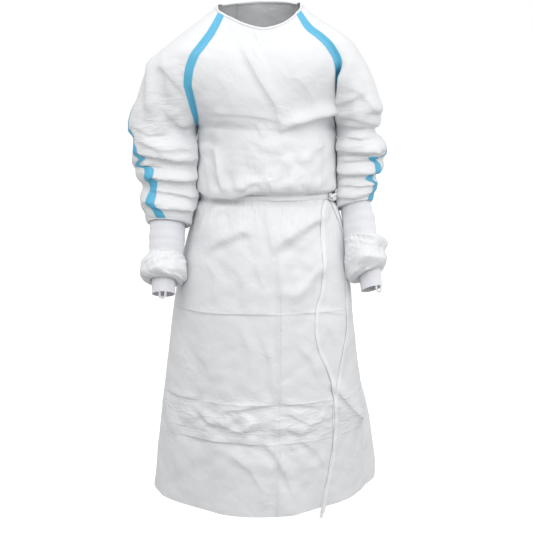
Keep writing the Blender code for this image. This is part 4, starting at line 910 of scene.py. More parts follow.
SLEEVE_CREASES = {
    ("right", "front"): creases(
        (9, 3, 0.9, 0.8, -266, -100, -254, -149, -257, -200, -264, -240),
        (8, 1.8, 0.9, 0.7, -232, -90, -215, -150, -209, -208),
        (9, 1.4, 0.7, -0.6, -198, -115, -186, -161, -191, -220),
        (8, 2, 0.9, 0.7, -240, -120, -200, -156, -166, -196),
        (12, 3.4, 0.5, 0.9, -222, -222, -190, -256, -160, -272),
        (10, 3, 0.6, 0.9, -288, -266, -252, -279, -208, -283),
        (11, 4.2, 0.6, 1, -282, -293, -228, -311, -160, -315),
        (10, 6.2, 0.7, 1.2, -290, -322, -262, -328, -217, -335, -146, -356),
        (8, 3.4, 0.8, 0.8, -276, -350, -230, -354, -180, -366),
        (10, 5.6, 0.7, 1.2, -280, -370, -243, -375, -202, -381, -160, -388),
        (10, 5.2, 0.7, 1.1, -262, -408, -207, -413, -157, -425),
        (8, 2.6, 0.7, 0.7, -272, -430, -240, -434, -214, -430),
        (9, 4.4, 0.7, 1, -264, -442, -234, -444, -196, -450, -160, -454),
        (7, 3, 0.7, 0.9, -262, -470, -220, -474, -172, -480),
        (8, 2.6, 0.8, -0.8, -270, -340, -250, -366, -256, -400),
        (9, 2.6, 0.6, 0.6, -190, -396, -178, -420, -184, -446),
    ),
    ("right", "back"): creases(
        (13, 3.6, 0.5, 0.8, -250, -100, -232, -160, -240, -230),
        (12, 3, 0.5, -0.7, -210, -110, -190, -170, -200, -230),
        (12, 3.6, 0.5, 1, -296, -250, -230, -262, -165, -270),
        (11, 4.4, 0.6, -1, -296, -290, -230, -300, -160, -292),
        (11, 5.6, 0.7, 1.1, -292, -326, -225, -338, -155, -336),
        (10, 5, 0.7, 1.1, -284, -366, -220, -372, -160, -380),
        (10, 4.8, 0.7, 1, -280, -404, -215, -408, -160, -412),
        (9, 4, 0.7, 0.9, -272, -438, -214, -446, -165, -448),
    ),
    ("left", "front"): creases(
        (12, 3.4, 0.5, -0.8, 200, -120, 214, -183, 210, -232),
        (12, 3.4, 0.5, 0.8, 232, -140, 243, -194, 237, -242),
        (10, 3, 0.6, 0.7, 250, -160, 262, -205, 262, -240),
        (10, 2.4, 0.5, 0.6, 190, -150, 196, -200, 188, -238),
        (8, 2.4, 0.9, 0.8, 182, -212, 204, -201, 230, -197),
        (8, 2.2, 0.9, 0.8, 182, -232, 225, -248, 266, -262),
        (8, 2.2, 0.9, 0.7, 206, -172, 232, -196, 262, -232),
        (10, 4.4, 0.6, 1.1, 186, -262, 230, -266, 284, -262),
        (10, 5.6, 0.7, 1.2, 186, -284, 227, -289, 286, -278),
        (8, 2.6, 0.7, 0.7, 190, -302, 216, -306, 240, -300),
        (9, 5.2, 0.7, 1.1, 185, -315, 227, -321, 290, -318),
        (9, 5.6, 0.7, 1.2, 186, -343, 227, -341, 288, -334),
        (9, 5.2, 0.7, 1.1, 186, -370, 223, -373, 280, -366),
        (9, 5, 0.7, 1.1, 187, -396, 223, -398, 278, -391),
        (8, 4, 0.7, 1, 186, -423, 219, -426, 262, -411),
        (8, 2.8, 0.7, -0.7, 262, -300, 270, -330, 262, -356),
    ),
    ("left", "back"): creases(
        (13, 3.4, 0.5, -0.8, 215, -110, 226, -170, 220, -230),
        (12, 3, 0.5, 0.7, 245, -130, 256, -190, 250, -236),
        (11, 4.4, 0.6, 1, 186, -262, 230, -256, 280, -262),
        (10, 5, 0.7, 1.1, 186, -292, 230, -296, 288, -290),
        (10, 5.2, 0.7, 1.1, 186, -324, 230, -330, 292, -322),
        (10, 5.2, 0.7, 1.1, 186, -360, 228, -356, 286, -352),
        (9, 4.8, 0.7, 1, 186, -392, 226, -392, 278, -384),
        (9, 4, 0.7, 0.9, 187, -420, 222, -416, 268, -406),
    ),
}


def crease_height(points, placed):
    """The height of every crease at every point, as seen along Y.

    Across a crease, at d widths from its line, the height is a bell, exp(-d^2), mixed with a
    crisp tent, exp(-k|d|), whose k is 2.3 on the steep side and 0.9 on the other. Its lean adds
    d exp((1 - d^2) / 2), up on one side and down on the other. All fade out before its ends.
    """
    x, z = points[..., 0], points[..., 2]
    total = np.zeros(x.shape)
    for crease in placed:
        path = crease.path
        run = length_along(path)
        nearest, d, along = np.full(x.shape, 9.0), np.zeros(x.shape), np.zeros(x.shape)
        for start, stop, before in zip(path[:-1], path[1:], run):
            way = (stop - start) / np.linalg.norm(stop - start)
            ahead = (x - start[0]) * way[0] + (z - start[1]) * way[1]
            aside = (z - start[1]) * way[0] - (x - start[0]) * way[1]
            held = np.clip(ahead, 0, np.linalg.norm(stop - start))
            away = np.hypot(ahead - held, aside)
            closer = away < nearest
            nearest = np.where(closer, away, nearest)
            d = np.where(closer, np.copysign(away, aside), d)
            along = np.where(closer, before + ahead, along)
        d = 1000 * d / crease.width
        share = along / run[-1]
        fade = ease((share + 0.12) / 0.34) * ease((1.12 - share) / 0.34)
        steep = 1.6 + 0.7 * np.sign(-d * crease.lean)
        bell, tent = np.exp(-(d**2)), np.exp(-steep * np.abs(d))
        ridge = bell + (0.3 + 0.7 * crease.crisp) * (tent - bell)
        lean = crease.lean * d * np.exp((1 - d**2) / 2) * 0.6
        total += crease.height / 1000 * fade * (ridge + lean)
    return total


every = (FRONT_CREASES, BACK_CREASES, *SLEEVE_CREASES.values())
print("creases placed by hand:", sum(map(len, every)))

# %% [markdown]
# ## Crumpling between the creases
#
# Between its main creases the cloth is never quite flat: it has small straight folds in every
# direction, each only a hand's width long. They are worked out, not placed: triangle waves in
# many directions, each shown only in patches. A short table says where they are strong.

# %% Small folds in every direction
CRUMPLE_FOLDS = 16
CRUMPLE_SLOPE = 0.045  # height of a small fold as a share of its length
Patch = namedtuple("Patch", "x z reach_x reach_z strength")
PATCHES = table(Patch, 4, (
    (10, -130, 110, 90, -0.2),
    (0, -360, 160, 60, 0.35),
    (0, -930, 190, 55, 0.85),
    (60, -1040, 120, 60, 0.3),
    (-100, -560, 90, 80, 0.1),
    (120, -520, 70, 100, 0.3),
))
PLAIN_STRENGTH = 0.28


def crumple(uv, cell, seed):
    """Sum of triangle waves: |2 (s mod 1) - 1| along random directions, each in patches."""
    random = np.random.default_rng(seed)
    u, v = uv[..., 0], uv[..., 1]
    height = np.zeros(u.shape)
    for _ in range(CRUMPLE_FOLDS):
        turn, start, bend, shift_u, shift_v = random.uniform(0, 2 * math.pi, 5)
        length = cell * random.uniform(0.6, 2.0)
        across = u * math.cos(turn) + v * math.sin(turn)
        beside = v * math.cos(turn) - u * math.sin(turn)
        bowed = across / length + 0.18 * np.sin(beside / (1.3 * length) + bend)
        wave = np.abs(2 * ((bowed + start) % 1) - 1)
        patch = ease(1.5 * np.cos(u / (1.9 * length) + shift_u) * np.cos(v / (1.5 * length) + shift_v))
        height += CRUMPLE_SLOPE * length * (wave - 0.5) * patch
    return height


def patch_strength(points):
    """How strongly the cloth is crumpled at each point."""
    strength = np.full(points.shape[:2], PLAIN_STRENGTH)
    for patch in PATCHES:
        far = ((points[..., 0] - patch.x) / patch.reach_x) ** 2
        far += ((points[..., 2] - patch.z) / patch.reach_z) ** 2
        strength += patch.strength * np.exp(-far)
    return np.maximum(strength, 0.05)


print("small folds in every patch of cloth:", CRUMPLE_FOLDS)

# %% [markdown]
# ## Creasing the large pieces
#
# The folds, the creases and the crumpling are added up and the cloth is moved along its
# normals by the sum. It stays calm beside the seams, where tape and stitches hold it flat, and
# under the belt. At the lap behind, each back panel drifts to its own layer.

# %% The creased panels and sleeves
CALM_REACH = 0.025
CREASE_REACH = 0.012
BELT_REACH = 0.018


def seam_calm(grid, start, end, reach, closed_from=None):
    """0 under a seam's tape at the named edges, growing to 1 where folds are free."""
    run = row_runs(grid)
    calm = np.ones(run.shape)
    if start:
        calm *= ease((run - TAPE_HALF / 2) / reach)
    if end:
        calm *= ease((run[:, -1:] - run - TAPE_HALF / 2) / reach)
    if closed_from is not None:
        freed = ease((np.arange(len(grid)) - closed_from) / (4 * STEPS))[:, None]
        calm = 1 - (1 - calm) * (1 - freed)
    return calm


def belt_calm(grid):
    """0 under the belt, where the cloth is held, and 1 away from it."""
    return ease((np.abs(grid[..., 2] - BELT_Z) - BELT_GROOVE) / BELT_REACH)


def lap_offset(grid, wearer_left, out):
    """How far a back panel drifts from its seams' surface to its own layer at the lap."""
    run = row_runs(grid)
    from_seam = run[:, -1:] - run if wearer_left else run
    return out * ease((from_seam - TAPE_HALF) / LAP_DRIFT)


def panel_height(name, folds, placed, start, end, seed):
    """The sum of everything that lifts a panel off its smooth form."""
    grid = smooth[name]
    large = fold_height(grid, folds) * seam_calm(grid, start, end, CALM_REACH)
    fine = crease_height(grid, placed)
    uv = cloth_uv(grid)
    if name != "front":  # measured from the centre back, so that both layers of the lap agree
        run = row_runs(grid)
        uv[..., 0] = run - BACK_LAP if name == "back_left" else run - run[:, -1:] + BACK_LAP
    small = crumple(uv, 0.060, seed) + 0.8 * crumple(uv, 0.024, seed + 50)
    fine = fine + small * patch_strength(grid)
    return (large + fine * seam_calm(grid, start, end, CREASE_REACH)) * belt_calm(grid)


def sleeve_height(side, seed):
    """The same for a sleeve, whose front and back have creases of their own."""
    name = f"sleeve_{side}"
    grid, facing = smooth[name], smooth_normals[name][..., 1]
    large = fold_height(grid, SLEEVE_FOLDS[side]) * seam_calm(grid, True, True, CALM_REACH, UNDERARM_AT)
    front_share = ease((0.45 - facing) / 0.9)
    fine = crease_height(grid, SLEEVE_CREASES[side, "front"]) * front_share
    fine += crease_height(grid, SLEEVE_CREASES[side, "back"]) * (1 - front_share)
    small = crumple(cloth_uv(grid), 0.045, seed) * 0.6 + crumple(cloth_uv(grid), 0.020, seed + 50) * 0.4
    fine += small * (0.35 + 0.65 * ease((-0.19 - grid[..., 2]) / 0.07))
    hem_calm = ease((HEM_ROW - 1 - SLEEVE_ROWS) / 0.8)[:, None]
    return large + fine * seam_calm(grid, True, True, CREASE_REACH, UNDERARM_AT) * hem_calm


heights = {
    "front": panel_height("front", FRONT_FOLDS, FRONT_CREASES, True, True, 11),
    "back_right": panel_height("back_right", BACK_FOLDS, BACK_CREASES, True, False, 12),
    "back_left": panel_height("back_left", BACK_FOLDS, BACK_CREASES, False, True, 12),
    "sleeve_right": sleeve_height("right", 14),
    "sleeve_left": sleeve_height("left", 15),
}
heights["back_right"] += lap_offset(smooth["back_right"], False, LAP_OUT)
heights["back_left"] += lap_offset(smooth["back_left"], True, LAP_IN)


TUCK_TOP_Z = -0.118
TUCK_DEPTH = 0.014
TUCK_OVERLAP = 0.016  # the cloth that far from the seam moves over it the most
Tuck = namedtuple("Tuck", "run swell reach")


def tuck_share(grid, run):
    """How much of the tuck there is at each row: none above the chest or at the underarm."""
    z = grid[:, :1, 2] if run[0, 0] == 0 else grid[:, -1:, 2]
    return ease((TUCK_TOP_Z - z) / 0.042) * ease((z - UNDERARM_Z) / 0.045)


def tuck_height(grid, run, swell):
    """The armhole's tuck at the wearer's left: its seam lies deep, and the cloth swells beside it.

    At a distance d from the seam it is -D exp(-(d / 11 mm)^2) + S exp(-((d - 26 mm) / 15 mm)^2).
    """
    beside = swell * np.exp(-(((run - 0.026) / 0.015) ** 2))
    return tuck_share(grid, run) * (beside - TUCK_DEPTH * np.exp(-((run / 0.011) ** 2)))


def tuck_close(grid, run, reach):
    """How far the cloth beside that seam moves over it, which closes the tuck."""
    rising = ease(run / TUCK_OVERLAP)
    falling = np.exp(-((np.maximum(run - TUCK_OVERLAP, 0) / 0.024) ** 2))
    return reach * tuck_share(grid, run) * rising * falling


ARM_LEAN = 0.013  # the inner side of each sleeve leans on the body
# How much of a fold's height its cloth also sags by.
DROOP = {"front": 0.35, "back_right": 0.3, "back_left": 0.3, "sleeve_right": 0.65, "sleeve_left": 0.65}
yoke_part = slice(0, UNDERARM_AT + 1)
front_run = row_runs(smooth["front"])
tucked = {
    "front": Tuck(front_run[:, -1:] - front_run, 0.001, 0.004),
    "sleeve_left": Tuck(row_runs(smooth["sleeve_left"]), 0.003, -0.0155),
}
for name, tuck in tucked.items():
    heights[name][yoke_part] += tuck_height(smooth[name], tuck.run, tuck.swell)[yoke_part]


def lifted(name):
    """The smooth piece moved out by its heights; what stands out sags by a share of them."""
    height = heights[name][..., None]
    down = np.array([0, 0, -1.0]) * DROOP[name] * np.maximum(height, 0)
    return smooth[name] + smooth_normals[name] * height + down


creased = {name: lifted(name) for name in smooth}
for name, tuck in tucked.items():
    creased[name][yoke_part, :, 0] += tuck_close(smooth[name], tuck.run, tuck.reach)[yoke_part]
for side, way in (("right", 1), ("left", -1)):
    grid, normals = creased[f"sleeve_{side}"], smooth_normals[f"sleeve_{side}"]
    hanging = ease((SLEEVE_ROWS - UNDERARM_ROW) / 1.5)[:, None]
    facing = ease(way * normals[..., 0] / 0.7) * (0.3 + 0.7 * ease(-normals[..., 1] / 0.5))
    grid[..., 0] += way * ARM_LEAN * hanging * facing
    creased[f"sleeve_{side}"] = pressed_clear(grid)
for name, height in heights.items():
    print(name, "creased by", np.round(1000 * np.array([height.min(), height.max()]), 1), "mm")

# %% [markdown]
# ## Strips and stitches
#
# The binding, the belt, the ties and the thumb loops are all narrow strips. Each one is a
# rounded oblong section carried along its line. A row of stitches is the same small capsule
# repeated along a line, all of them worked out in one array.

# %% Strips and stitches
STRIP_CORNERS = 12
BINDING_STEPS, BELT_STEPS, KNOT_STEPS, TIE_STEPS, LOOP_STEPS = 460, 620, 160, 300, 64


def resampled(values, run, stops):
    """Values on a line, read at other distances along it."""
    return np.stack([np.interp(stops, run, values[:, k]) for k in range(values.shape[1])], 1)


def tube_faces(rows, columns, closed):
    """Quads of a tube whose rows go round; a closed tube joins its last row to its first."""
    r, c = np.meshgrid(np.arange(rows if closed else rows - 1), np.arange(columns), indexing="ij")
    r, c = r.ravel(), c.ravel()
    s, d = (r + 1) % rows, (c + 1) % columns
    return np.stack([r * columns + c, r * columns + d, s * columns + d, s * columns + c], 1)


def halved(quads):
    """Two triangles for each quad."""
    return np.concatenate([quads[:, [0, 1, 2]], quads[:, [0, 2, 3]]])


def facing_out(points, faces):
    """The faces of a closed form, turned round if they face inwards."""
    corner = points[faces]
    volume = np.einsum("ij,ij->i", corner[:, 0], np.cross(corner[:, 1], corner[:, 2])).sum()
    if faces.shape[1] == 4:
        volume += np.einsum("ij,ij->i", corner[:, 0], np.cross(corner[:, 2], corner[:, 3])).sum()
    return faces if volume > 0 else faces[:, ::-1]


def strip_mesh(name, middle, across, out, size, closed=False, roundness=4.0, swell=None):
    """A strip: |a|^n + |o|^n = 1 across its width and thickness, carried along its middle line.

    a runs across the strip and o out of the cloth; n is the roundness, 2 for an ellipse and
    more for an oblong. The ends of an open strip taper to a rounded edge.
    """
    turn = 2 * math.pi * (np.arange(STRIP_CORNERS) + 0.5) / STRIP_CORNERS
    c, s = np.cos(turn), np.sin(turn)
    reach = (np.abs(c) ** roundness + np.abs(s) ** roundness) ** (-1 / roundness)
    half_across, half_out = unit(across) * size[0] / 2, unit(out) * size[1] / 2
    if swell is not None:
        half_out = half_out * swell[:, None]
    ring = half_across[:, None] * (c * reach)[:, None] + half_out[:, None] * (s * reach)[:, None]
    points = middle[:, None] + ring
    if not closed:
        ends = []
        for end, beside in ((0, 1), (-1, -2)):
            lead = unit(middle[end] - middle[beside]) * size[1] * 0.4
            ends.append(((points[end] - middle[end]) * 0.8 + middle[end] + lead)[None])
        points = np.concatenate([ends[0], points, ends[1]])
    rows = len(points)
    faces = tube_faces(rows, STRIP_CORNERS, closed)
    flat = points.reshape(-1, 3)
    run = length_along(points.mean(axis=1))
    share = np.broadcast_to(np.arange(STRIP_CORNERS) / STRIP_CORNERS, (rows, STRIP_CORNERS))
    uv = np.stack([share * size[0] * 2, np.broadcast_to(run[:, None], share.shape)], -1).reshape(-1, 2)
    quads = facing_out(flat, faces)
    triangles = halved(quads)
    if not closed:
        flat = np.concatenate([flat, points[[0, -1]].mean(axis=1)])
        uv = np.concatenate([uv, uv[[0, -1]]])
        c0 = np.arange(STRIP_CORNERS)
        c1 = (c0 + 1) % STRIP_CORNERS
        base = (rows - 1) * STRIP_CORNERS
        start = np.stack([c1, c0, 0 * c0 + len(flat) - 2], 1)
        stop = np.stack([c0 + base, c1 + base, 0 * c0 + len(flat) - 1], 1)
        if not np.array_equal(quads, faces):
            start, stop = start[:, ::-1], stop[:, ::-1]
        triangles = np.concatenate([triangles, start, stop])
    return mesh_of(name, flat, triangles, uv[triangles])


STITCH_RING, STITCH_ROWS = 5, 4


def stitch_mesh(name, line, out, length, gap, radius):
    """Stitches along a line: capsules, each radius thick, length long and gap apart."""
    run = length_along(line)
    count = max(int(run[-1] / (length + gap)), 1)
    stops = (np.arange(count) + 0.5) * run[-1] / count
    centre = resampled(line, run, stops)
    along = unit(resampled(line, run, stops + length / 4) - resampled(line, run, stops - length / 4))
    outward = unit(resampled(out, run, stops))
    beside = unit(np.cross(along, outward))
    outward = np.cross(beside, along)
    tilt = math.pi * (np.arange(STITCH_ROWS) + 0.5) / STITCH_ROWS
    turn = 2 * math.pi * np.arange(STITCH_RING) / STITCH_RING
    ahead = -np.cos(tilt)[:, None] * np.ones(STITCH_RING) * length / 2
    wide = np.sin(tilt)[:, None] ** 0.5 * np.cos(turn) * radius
    high = np.sin(tilt)[:, None] ** 0.5 * np.sin(turn) * radius
    shares = [a.ravel()[None, :, None] for a in (ahead, wide, high)]
    points = centre[:, None] + shares[0] * along[:, None] + shares[1] * beside[:, None]
    points = points + shares[2] * outward[:, None]
    sides = halved(tube_faces(STITCH_ROWS, STITCH_RING, False))
    fan = np.arange(1, STITCH_RING - 1)
    base = (STITCH_ROWS - 1) * STITCH_RING
    caps = [np.stack([0 * fan, fan + 1, fan], 1), np.stack([0 * fan + base, fan + base, fan + base + 1], 1)]
    one = facing_out(points[0], np.concatenate([sides, *caps]))
    size = STITCH_RING * STITCH_ROWS
    faces = (one[None] + (np.arange(count) * size)[:, None, None]).reshape(-1, 3)
    flat = points.reshape(-1, 3)
    return mesh_of(name, flat, faces, flat[faces][..., [0, 2]])


print("corners round a strip:", STRIP_CORNERS)

# %% [markdown]
# ## Walls of the large pieces, and the blue tape
#
# The large pieces become walls half a millimetre thick. The blue tape is a film pressed over
# each seam, so it is the cloth's own narrow columns, lifted by a third of a millimetre. The
# seam under it shows as a low ridge along its middle.

# %% Large pieces and tape
TAPE = 0.00025  # the film's thickness
TAPE_LIFT = 0.00035
SEAM_RIDGE = 0.0006
SEAM_TAPE_ROWS = (5, 18)  # the sleeve tape's first row and the one past its last

creased_normals = shared_normals(creased)
meshes = {}
for name, grid in creased.items():
    inner = grid - creased_normals[name] * CLOTH
    meshes[name] = wall_mesh(name, grid, inner, FLIPPED[name], cloth_uv(smooth[name]))


def tape_mesh(name, points, normals, flipped):
    """Tape over a seam: the cloth's points moved out, with a ridge exp(-(c / 0.16)^2), c = -1 to 1."""
    c = np.linspace(-1, 1, points.shape[1])
    ridge = SEAM_RIDGE * np.exp(-((c / 0.16) ** 2))[:, None]
    base = points + normals * (TAPE_LIFT + ridge)
    return wall_mesh(name, base + normals * TAPE, base, flipped, cloth_uv(points))


def raglan_tape(side, face):
    """Tape over a raglan seam: the panel's last columns and the sleeve's first ones."""
    panel = "front" if face == "front" else f"back_{side}"
    on_panel = range(EDGE_CELLS, -1, -1) if side == "right" else range(-EDGE_CELLS - 1, 0)
    on_sleeve = range(1, EDGE_CELLS + 1) if face == "front" else range(-2, -EDGE_CELLS - 2, -1)

    def both(source):
        parts = ((panel, on_panel), (f"sleeve_{side}", on_sleeve))
        return np.concatenate([source[part][: UNDERARM_AT - 1, list(c)] for part, c in parts], axis=1)

    flipped = (side == "right") != (face == "front")
    name = f"tape_{face}_{side}"
    return name, tape_mesh(name, both(creased), both(creased_normals), flipped)


def sleeve_tape(side):
    """Tape over a sleeve's own seam: the narrow columns that follow it."""
    rows = slice(SEAM_TAPE_ROWS[0] * STEPS, (SEAM_TAPE_ROWS[1] - 1) * STEPS + 1)
    columns = slice(SEAM_FIRST, SEAM_FIRST + 2 * EDGE_CELLS + 1)
    sleeve = f"sleeve_{side}"
    points, normals = creased[sleeve][rows, columns], creased_normals[sleeve][rows, columns]
    return f"tape_{sleeve}", tape_mesh(f"tape_{sleeve}", points, normals, FLIPPED[sleeve])


tapes = [raglan_tape(side, face) for side in SIDES for face in ("front", "back")]
tapes += [sleeve_tape(side) for side in SIDES]
meshes |= dict(tapes)
print("tapes:", [name for name, _ in tapes])

# %% [markdown]
# ## Knitted bands and cuffs
#
# The bands and cuffs are fine rib knit. A rib is a real ridge here, about one and a half
# millimetres wide, round a tube whose sections come from a short table. Elastic pulls the knit
# in, so a few soft rings run round it too.

# %% Knit tubes
RIB_CELLS = 4
RIB_HEIGHT = 0.00042
CUFF_HITCH = 0.013  # how far the front of each cuff's top is pulled up
HEM_GAP = 0.0012  # from a sleeve's hem to the band inside it


def within(section):
    """The same section drawn in by the gap between a sleeve's hem and the band inside it."""
    inward = math.copysign(HEM_GAP, section.outer_x)
    return section._replace(
        inner_x=section.inner_x + inward,
        outer_x=section.outer_x - inward,
        half_depth=section.half_depth - HEM_GAP,
    )


def tube_points(sections, rows, angle):
    """A closed tube through its sections: front cos(a) + outward sin(a) round each centre."""
    made = []
    for row in rows:
        centre, outward, front, _ = section_values(sections, np.full(angle.shape, row))
        plain = front * np.cos(angle)[:, None] + outward * np.sin(angle)[:, None]
        made.append(np.stack([centre, plain]))
    made = np.array(made)
    return made[:, 0], made[:, 1]


def hitched(grid, angle, share):
    """The grid with its front pulled up by a share of the hitch, and its back not at all."""
    grid[..., 2] += CUFF_HITCH * share * (0.5 + 0.5 * np.cos(angle - 0.3)) ** 1.5
    return grid


def knit_tube(sections, steps, ribs, rings, hitch=0.0):
    """A ribbed tube: ridges |cos|^0.8 round it, and soft rings along it."""
    angle = np.linspace(-math.pi / 2, 3 * math.pi / 2, ribs * RIB_CELLS + 1)
    rows = np.linspace(0, len(sections) - 1, steps)
    centre, plain = tube_points(sections, rows, angle)
    share = np.linspace(0, 1, steps)[:, None]
    rib = RIB_HEIGHT * (np.abs(np.cos(math.pi * np.arange(len(angle)) / RIB_CELLS)) ** 0.8 - 1)
    sway = np.sin(angle * 2 + 5 * share) * 0.35
    ring = rings * (np.abs(np.sin(math.pi * (share * 3.2 + 0.06 * sway))) ** 1.6 - 0.5)
    ring = ring * np.sin(math.pi * share) ** 0.5
    grid = centre + plain + unit(plain) * (rib + ring + 0 * share)[..., None]
    grid = hitched(grid, angle, hitch * ease(1 - share))
    grid[:, -1] = grid[:, 0]
    return pressed_clear(grid)


print("rib:", RIB_HEIGHT * 1000, "mm high")

# %% [markdown]
# ## Gathered lower sleeves
#
# Below the band the cloth is gathered into the knit at both ends and puffs out between them.
# Many sharp gathers start at each seam and run into a few large lobes half way.

# %% Gathered tubes
PUFF_COLUMNS, PUFF_STEPS = 240, 84
# Gathers of each size: how high, how many round the tube, their phase, and their share of the
# pattern at the top seam and at the bottom one.
Gathers = namedtuple("Gathers", "height count phase top bottom")
PUFF_GATHERS = table(Gathers, 1, (
    (1.1, 21, 0.3, 1, 0),
    (0.6, 31, 1.1, 1, 0.1),
    (2, 5, 0.8, 0.6, 0.7),
    (1.5, 13, 2, 0, 1),
    (0.9, 23, 0.5, 0, 1),
    (3.4, 4, 1.7, 0.3, 1),
))


def puff(sections, seed):
    """A gathered tube: crisp waves 1 - 2|sin|^0.9 that fade in from each seam, and lobes between."""
    angle = np.linspace(-math.pi / 2, 3 * math.pi / 2, PUFF_COLUMNS + 1)
    rows = np.linspace(0, len(sections) - 1, PUFF_STEPS)
    centre, plain = tube_points(sections, rows, angle)
    share = np.linspace(0, 1, PUFF_STEPS)[:, None]
    turn = angle[None]
    from_top = np.exp(-((share / 0.26) ** 2)) * ease(share / 0.07)
    from_bottom = np.exp(-(((1 - share) / 0.34) ** 2)) * ease((1 - share) / 0.07)
    height = 0
    for at, gathers in enumerate(PUFF_GATHERS):
        bent = turn + 0.16 * np.sin(2 * turn + gathers.phase + seed) + 0.25 * share * (-1) ** at
        wave = 1 - 2 * np.abs(np.sin(gathers.count * bent / 2 + gathers.phase * (seed + 1))) ** 0.9
        uneven = 0.65 + 0.35 * np.sin(3 * turn + gathers.phase * 4 + seed)
        reach = gathers.top * from_top + gathers.bottom * from_bottom
        height = height + gathers.height * wave * uneven * reach
    grid = centre + plain
    middle = np.sin(math.pi * share) ** 0.5
    height = height + crumple(cloth_uv(grid), 0.034, 30 + seed) * 1.6 * middle
    height = height + crumple(cloth_uv(grid), 0.014, 40 + seed) * 0.9 * middle
    grid = grid + unit(plain) * height[..., None]
    grid = hitched(grid, turn, ease((share - 0.4) / 0.6))
    grid[:, -1] = grid[:, 0]
    return pressed_clear(grid)


LOWER_ARMS = {
    "right": (RIGHT_SLEEVE, RIGHT_BAND, RIGHT_PUFF, RIGHT_CUFF),
    "left": (LEFT_SLEEVE, LEFT_BAND, LEFT_PUFF, LEFT_CUFF),
}
lower = {}
for seed, (side, (sleeve, band, gathered, cuff)) in enumerate(LOWER_ARMS.items()):
    lower[f"forearm_band_{side}"] = knit_tube((within(sleeve[-1]), *band), 26, 104, 0.0011)
    lower[f"lower_sleeve_{side}"] = puff((band[-1], *gathered), seed)
    lower[f"cuff_{side}"] = knit_tube((gathered[-1], *cuff), 24, 76, 0.0003, 1.0)
lower_normals = shared_normals(lower)
for name, grid in lower.items():
    wall = CLOTH if name.startswith("lower") else KNIT
    inner = grid - lower_normals[name] * wall
    meshes[name] = wall_mesh(name, grid, inner, FLIPPED[name], cloth_uv(grid))
print("tubes:", {name: grid.shape[:2] for name, grid in lower.items()})

# %% [markdown]
# ## Binding, belt and ties
#
# The neckline is bound with a folded strip of the gown's own cloth, sewn with one row of
# stitches. The belt is a longer strip of the same kind: it goes once round the waist, over the
# lap behind, is knotted at the wearer's left, and its two ends hang down past the hem.

# %% Neck binding and its stitches
BINDING_HEIGHT = 0.0070
BINDING_THICKNESS = 0.0022
BINDING_GAP = 0.0004
STEP_RUN = 0.008  # where a line over the lap's edge comes down to the panel below


def neckline(values):
    """Values along the neckline, from the inner back panel's free edge round to the outer's."""
    parts = (("back_left", 1), ("sleeve_left", -1), ("front", -1), ("sleeve_right", 1), ("back_right", 1))
    return np.concatenate([values(name)[::way] for name, way in parts])


edge = neckline(lambda name: creased[name][0])
upward = neckline(lambda name: unit(creased[name][0] - creased[name][2]))
outward = neckline(lambda name: creased_normals[name][0])
run = length_along(edge)
stops = np.linspace(0, run[-1], BINDING_STEPS)
rising = run + 1e-9 * np.arange(len(run))  # so that no two points lie at the same distance
edge, upward, outward = (resampled(values, rising, stops) for values in (edge, upward, outward))
upward, outward = smoothed(upward, 10), smoothed(outward, 10)
lift = upward * (BINDING_GAP + BINDING_HEIGHT / 2)
pucker = 1 + 0.10 * np.sin(stops / 0.0031) + 0.06 * np.sin(stops / 0.0052 + 1)
square_out = np.cross(np.cross(upward, outward), upward)
middle = edge + lift - outward * CLOTH / 2
size = (BINDING_HEIGHT, BINDING_THICKNESS)
meshes["neck_binding"] = strip_mesh("neck_binding", middle, upward, square_out, size, swell=pucker)
on_binding = middle - upward * 0.0018 + square_out * (BINDING_THICKNESS / 2 * 1.02)
meshes["neck_stitches"] = stitch_mesh("neck_stitches", on_binding, square_out, 0.0024, 0.0010, 0.00026)
print("binding:", round(float(stops[-1]) * 1000), "mm long")

# %% The belt round the waist
LIFT = 0.0006  # from the cloth to the belt
BELT_THICKNESS = 0.0012
BELT_WIDTH = 0.0105


def lapped_row(grids, values, row, lap_row):
    """A row across the back from the left side to the right, the right panel over the left.

    The left panel's columns are those that the right one leaves bare in lap_row.
    """
    left, right = values["back_left"][row][::-1], values["back_right"][row][::-1]
    edge_x = grids["back_right"][lap_row][-1, 0]
    bare = grids["back_left"][lap_row][::-1, 0] > edge_x + STEP_RUN
    return np.concatenate([left[bare], right])


def row_at(level):
    """The panels' row nearest to a height."""
    return UNDERARM_AT + 1 + int(np.abs(BODY_LEVELS - level).argmin())


def waist_line(values, level, lap_row):
    """Values round the waist at a height, over the front and then over both back panels."""
    row = row_at(level)
    return np.concatenate([values["front"][row], lapped_row(creased, values, row, lap_row)[1:-1]])


belt_row = row_at(BELT_TOP_Z)
top, bottom = (waist_line(creased, level, belt_row) for level in (BELT_TOP_Z, BELT_BOTTOM_Z))
belt_out = sum(waist_line(creased_normals, level, belt_row) for level in (BELT_TOP_Z, BELT_BOTTOM_Z))
loop = np.concatenate([(top + bottom) / 2, ((top + bottom) / 2)[:1]])
run = length_along(loop)
stops = np.linspace(0, run[-1], BELT_STEPS, endpoint=False)
belt_middle = resampled(loop, run, stops)
belt_outward = unit(resampled(np.concatenate([belt_out, belt_out[:1]]), run, stops))
for _ in range(6):
    belt_outward = unit(np.roll(belt_outward, 1, 0) + 2 * belt_outward + np.roll(belt_outward, -1, 0))
belt_middle = belt_middle + belt_outward * (LIFT + BELT_THICKNESS / 2)
belt_across = np.array([0, 0, 1.0]) + 0.35 * belt_outward * np.sin(stops * 40)[:, None]
belt_across = belt_across + 0.05 * np.sin(stops * 95 + 1)[:, None] * belt_outward
swell = 1 + 0.25 * np.sin(stops * 130) * np.sin(stops * 37 + 1)
size = (BELT_WIDTH, BELT_THICKNESS)
meshes["belt"] = strip_mesh("belt", belt_middle, belt_across, belt_outward, size, closed=True, swell=swell)
print("belt:", round(float(run[-1]) * 1000), "mm round the waist")

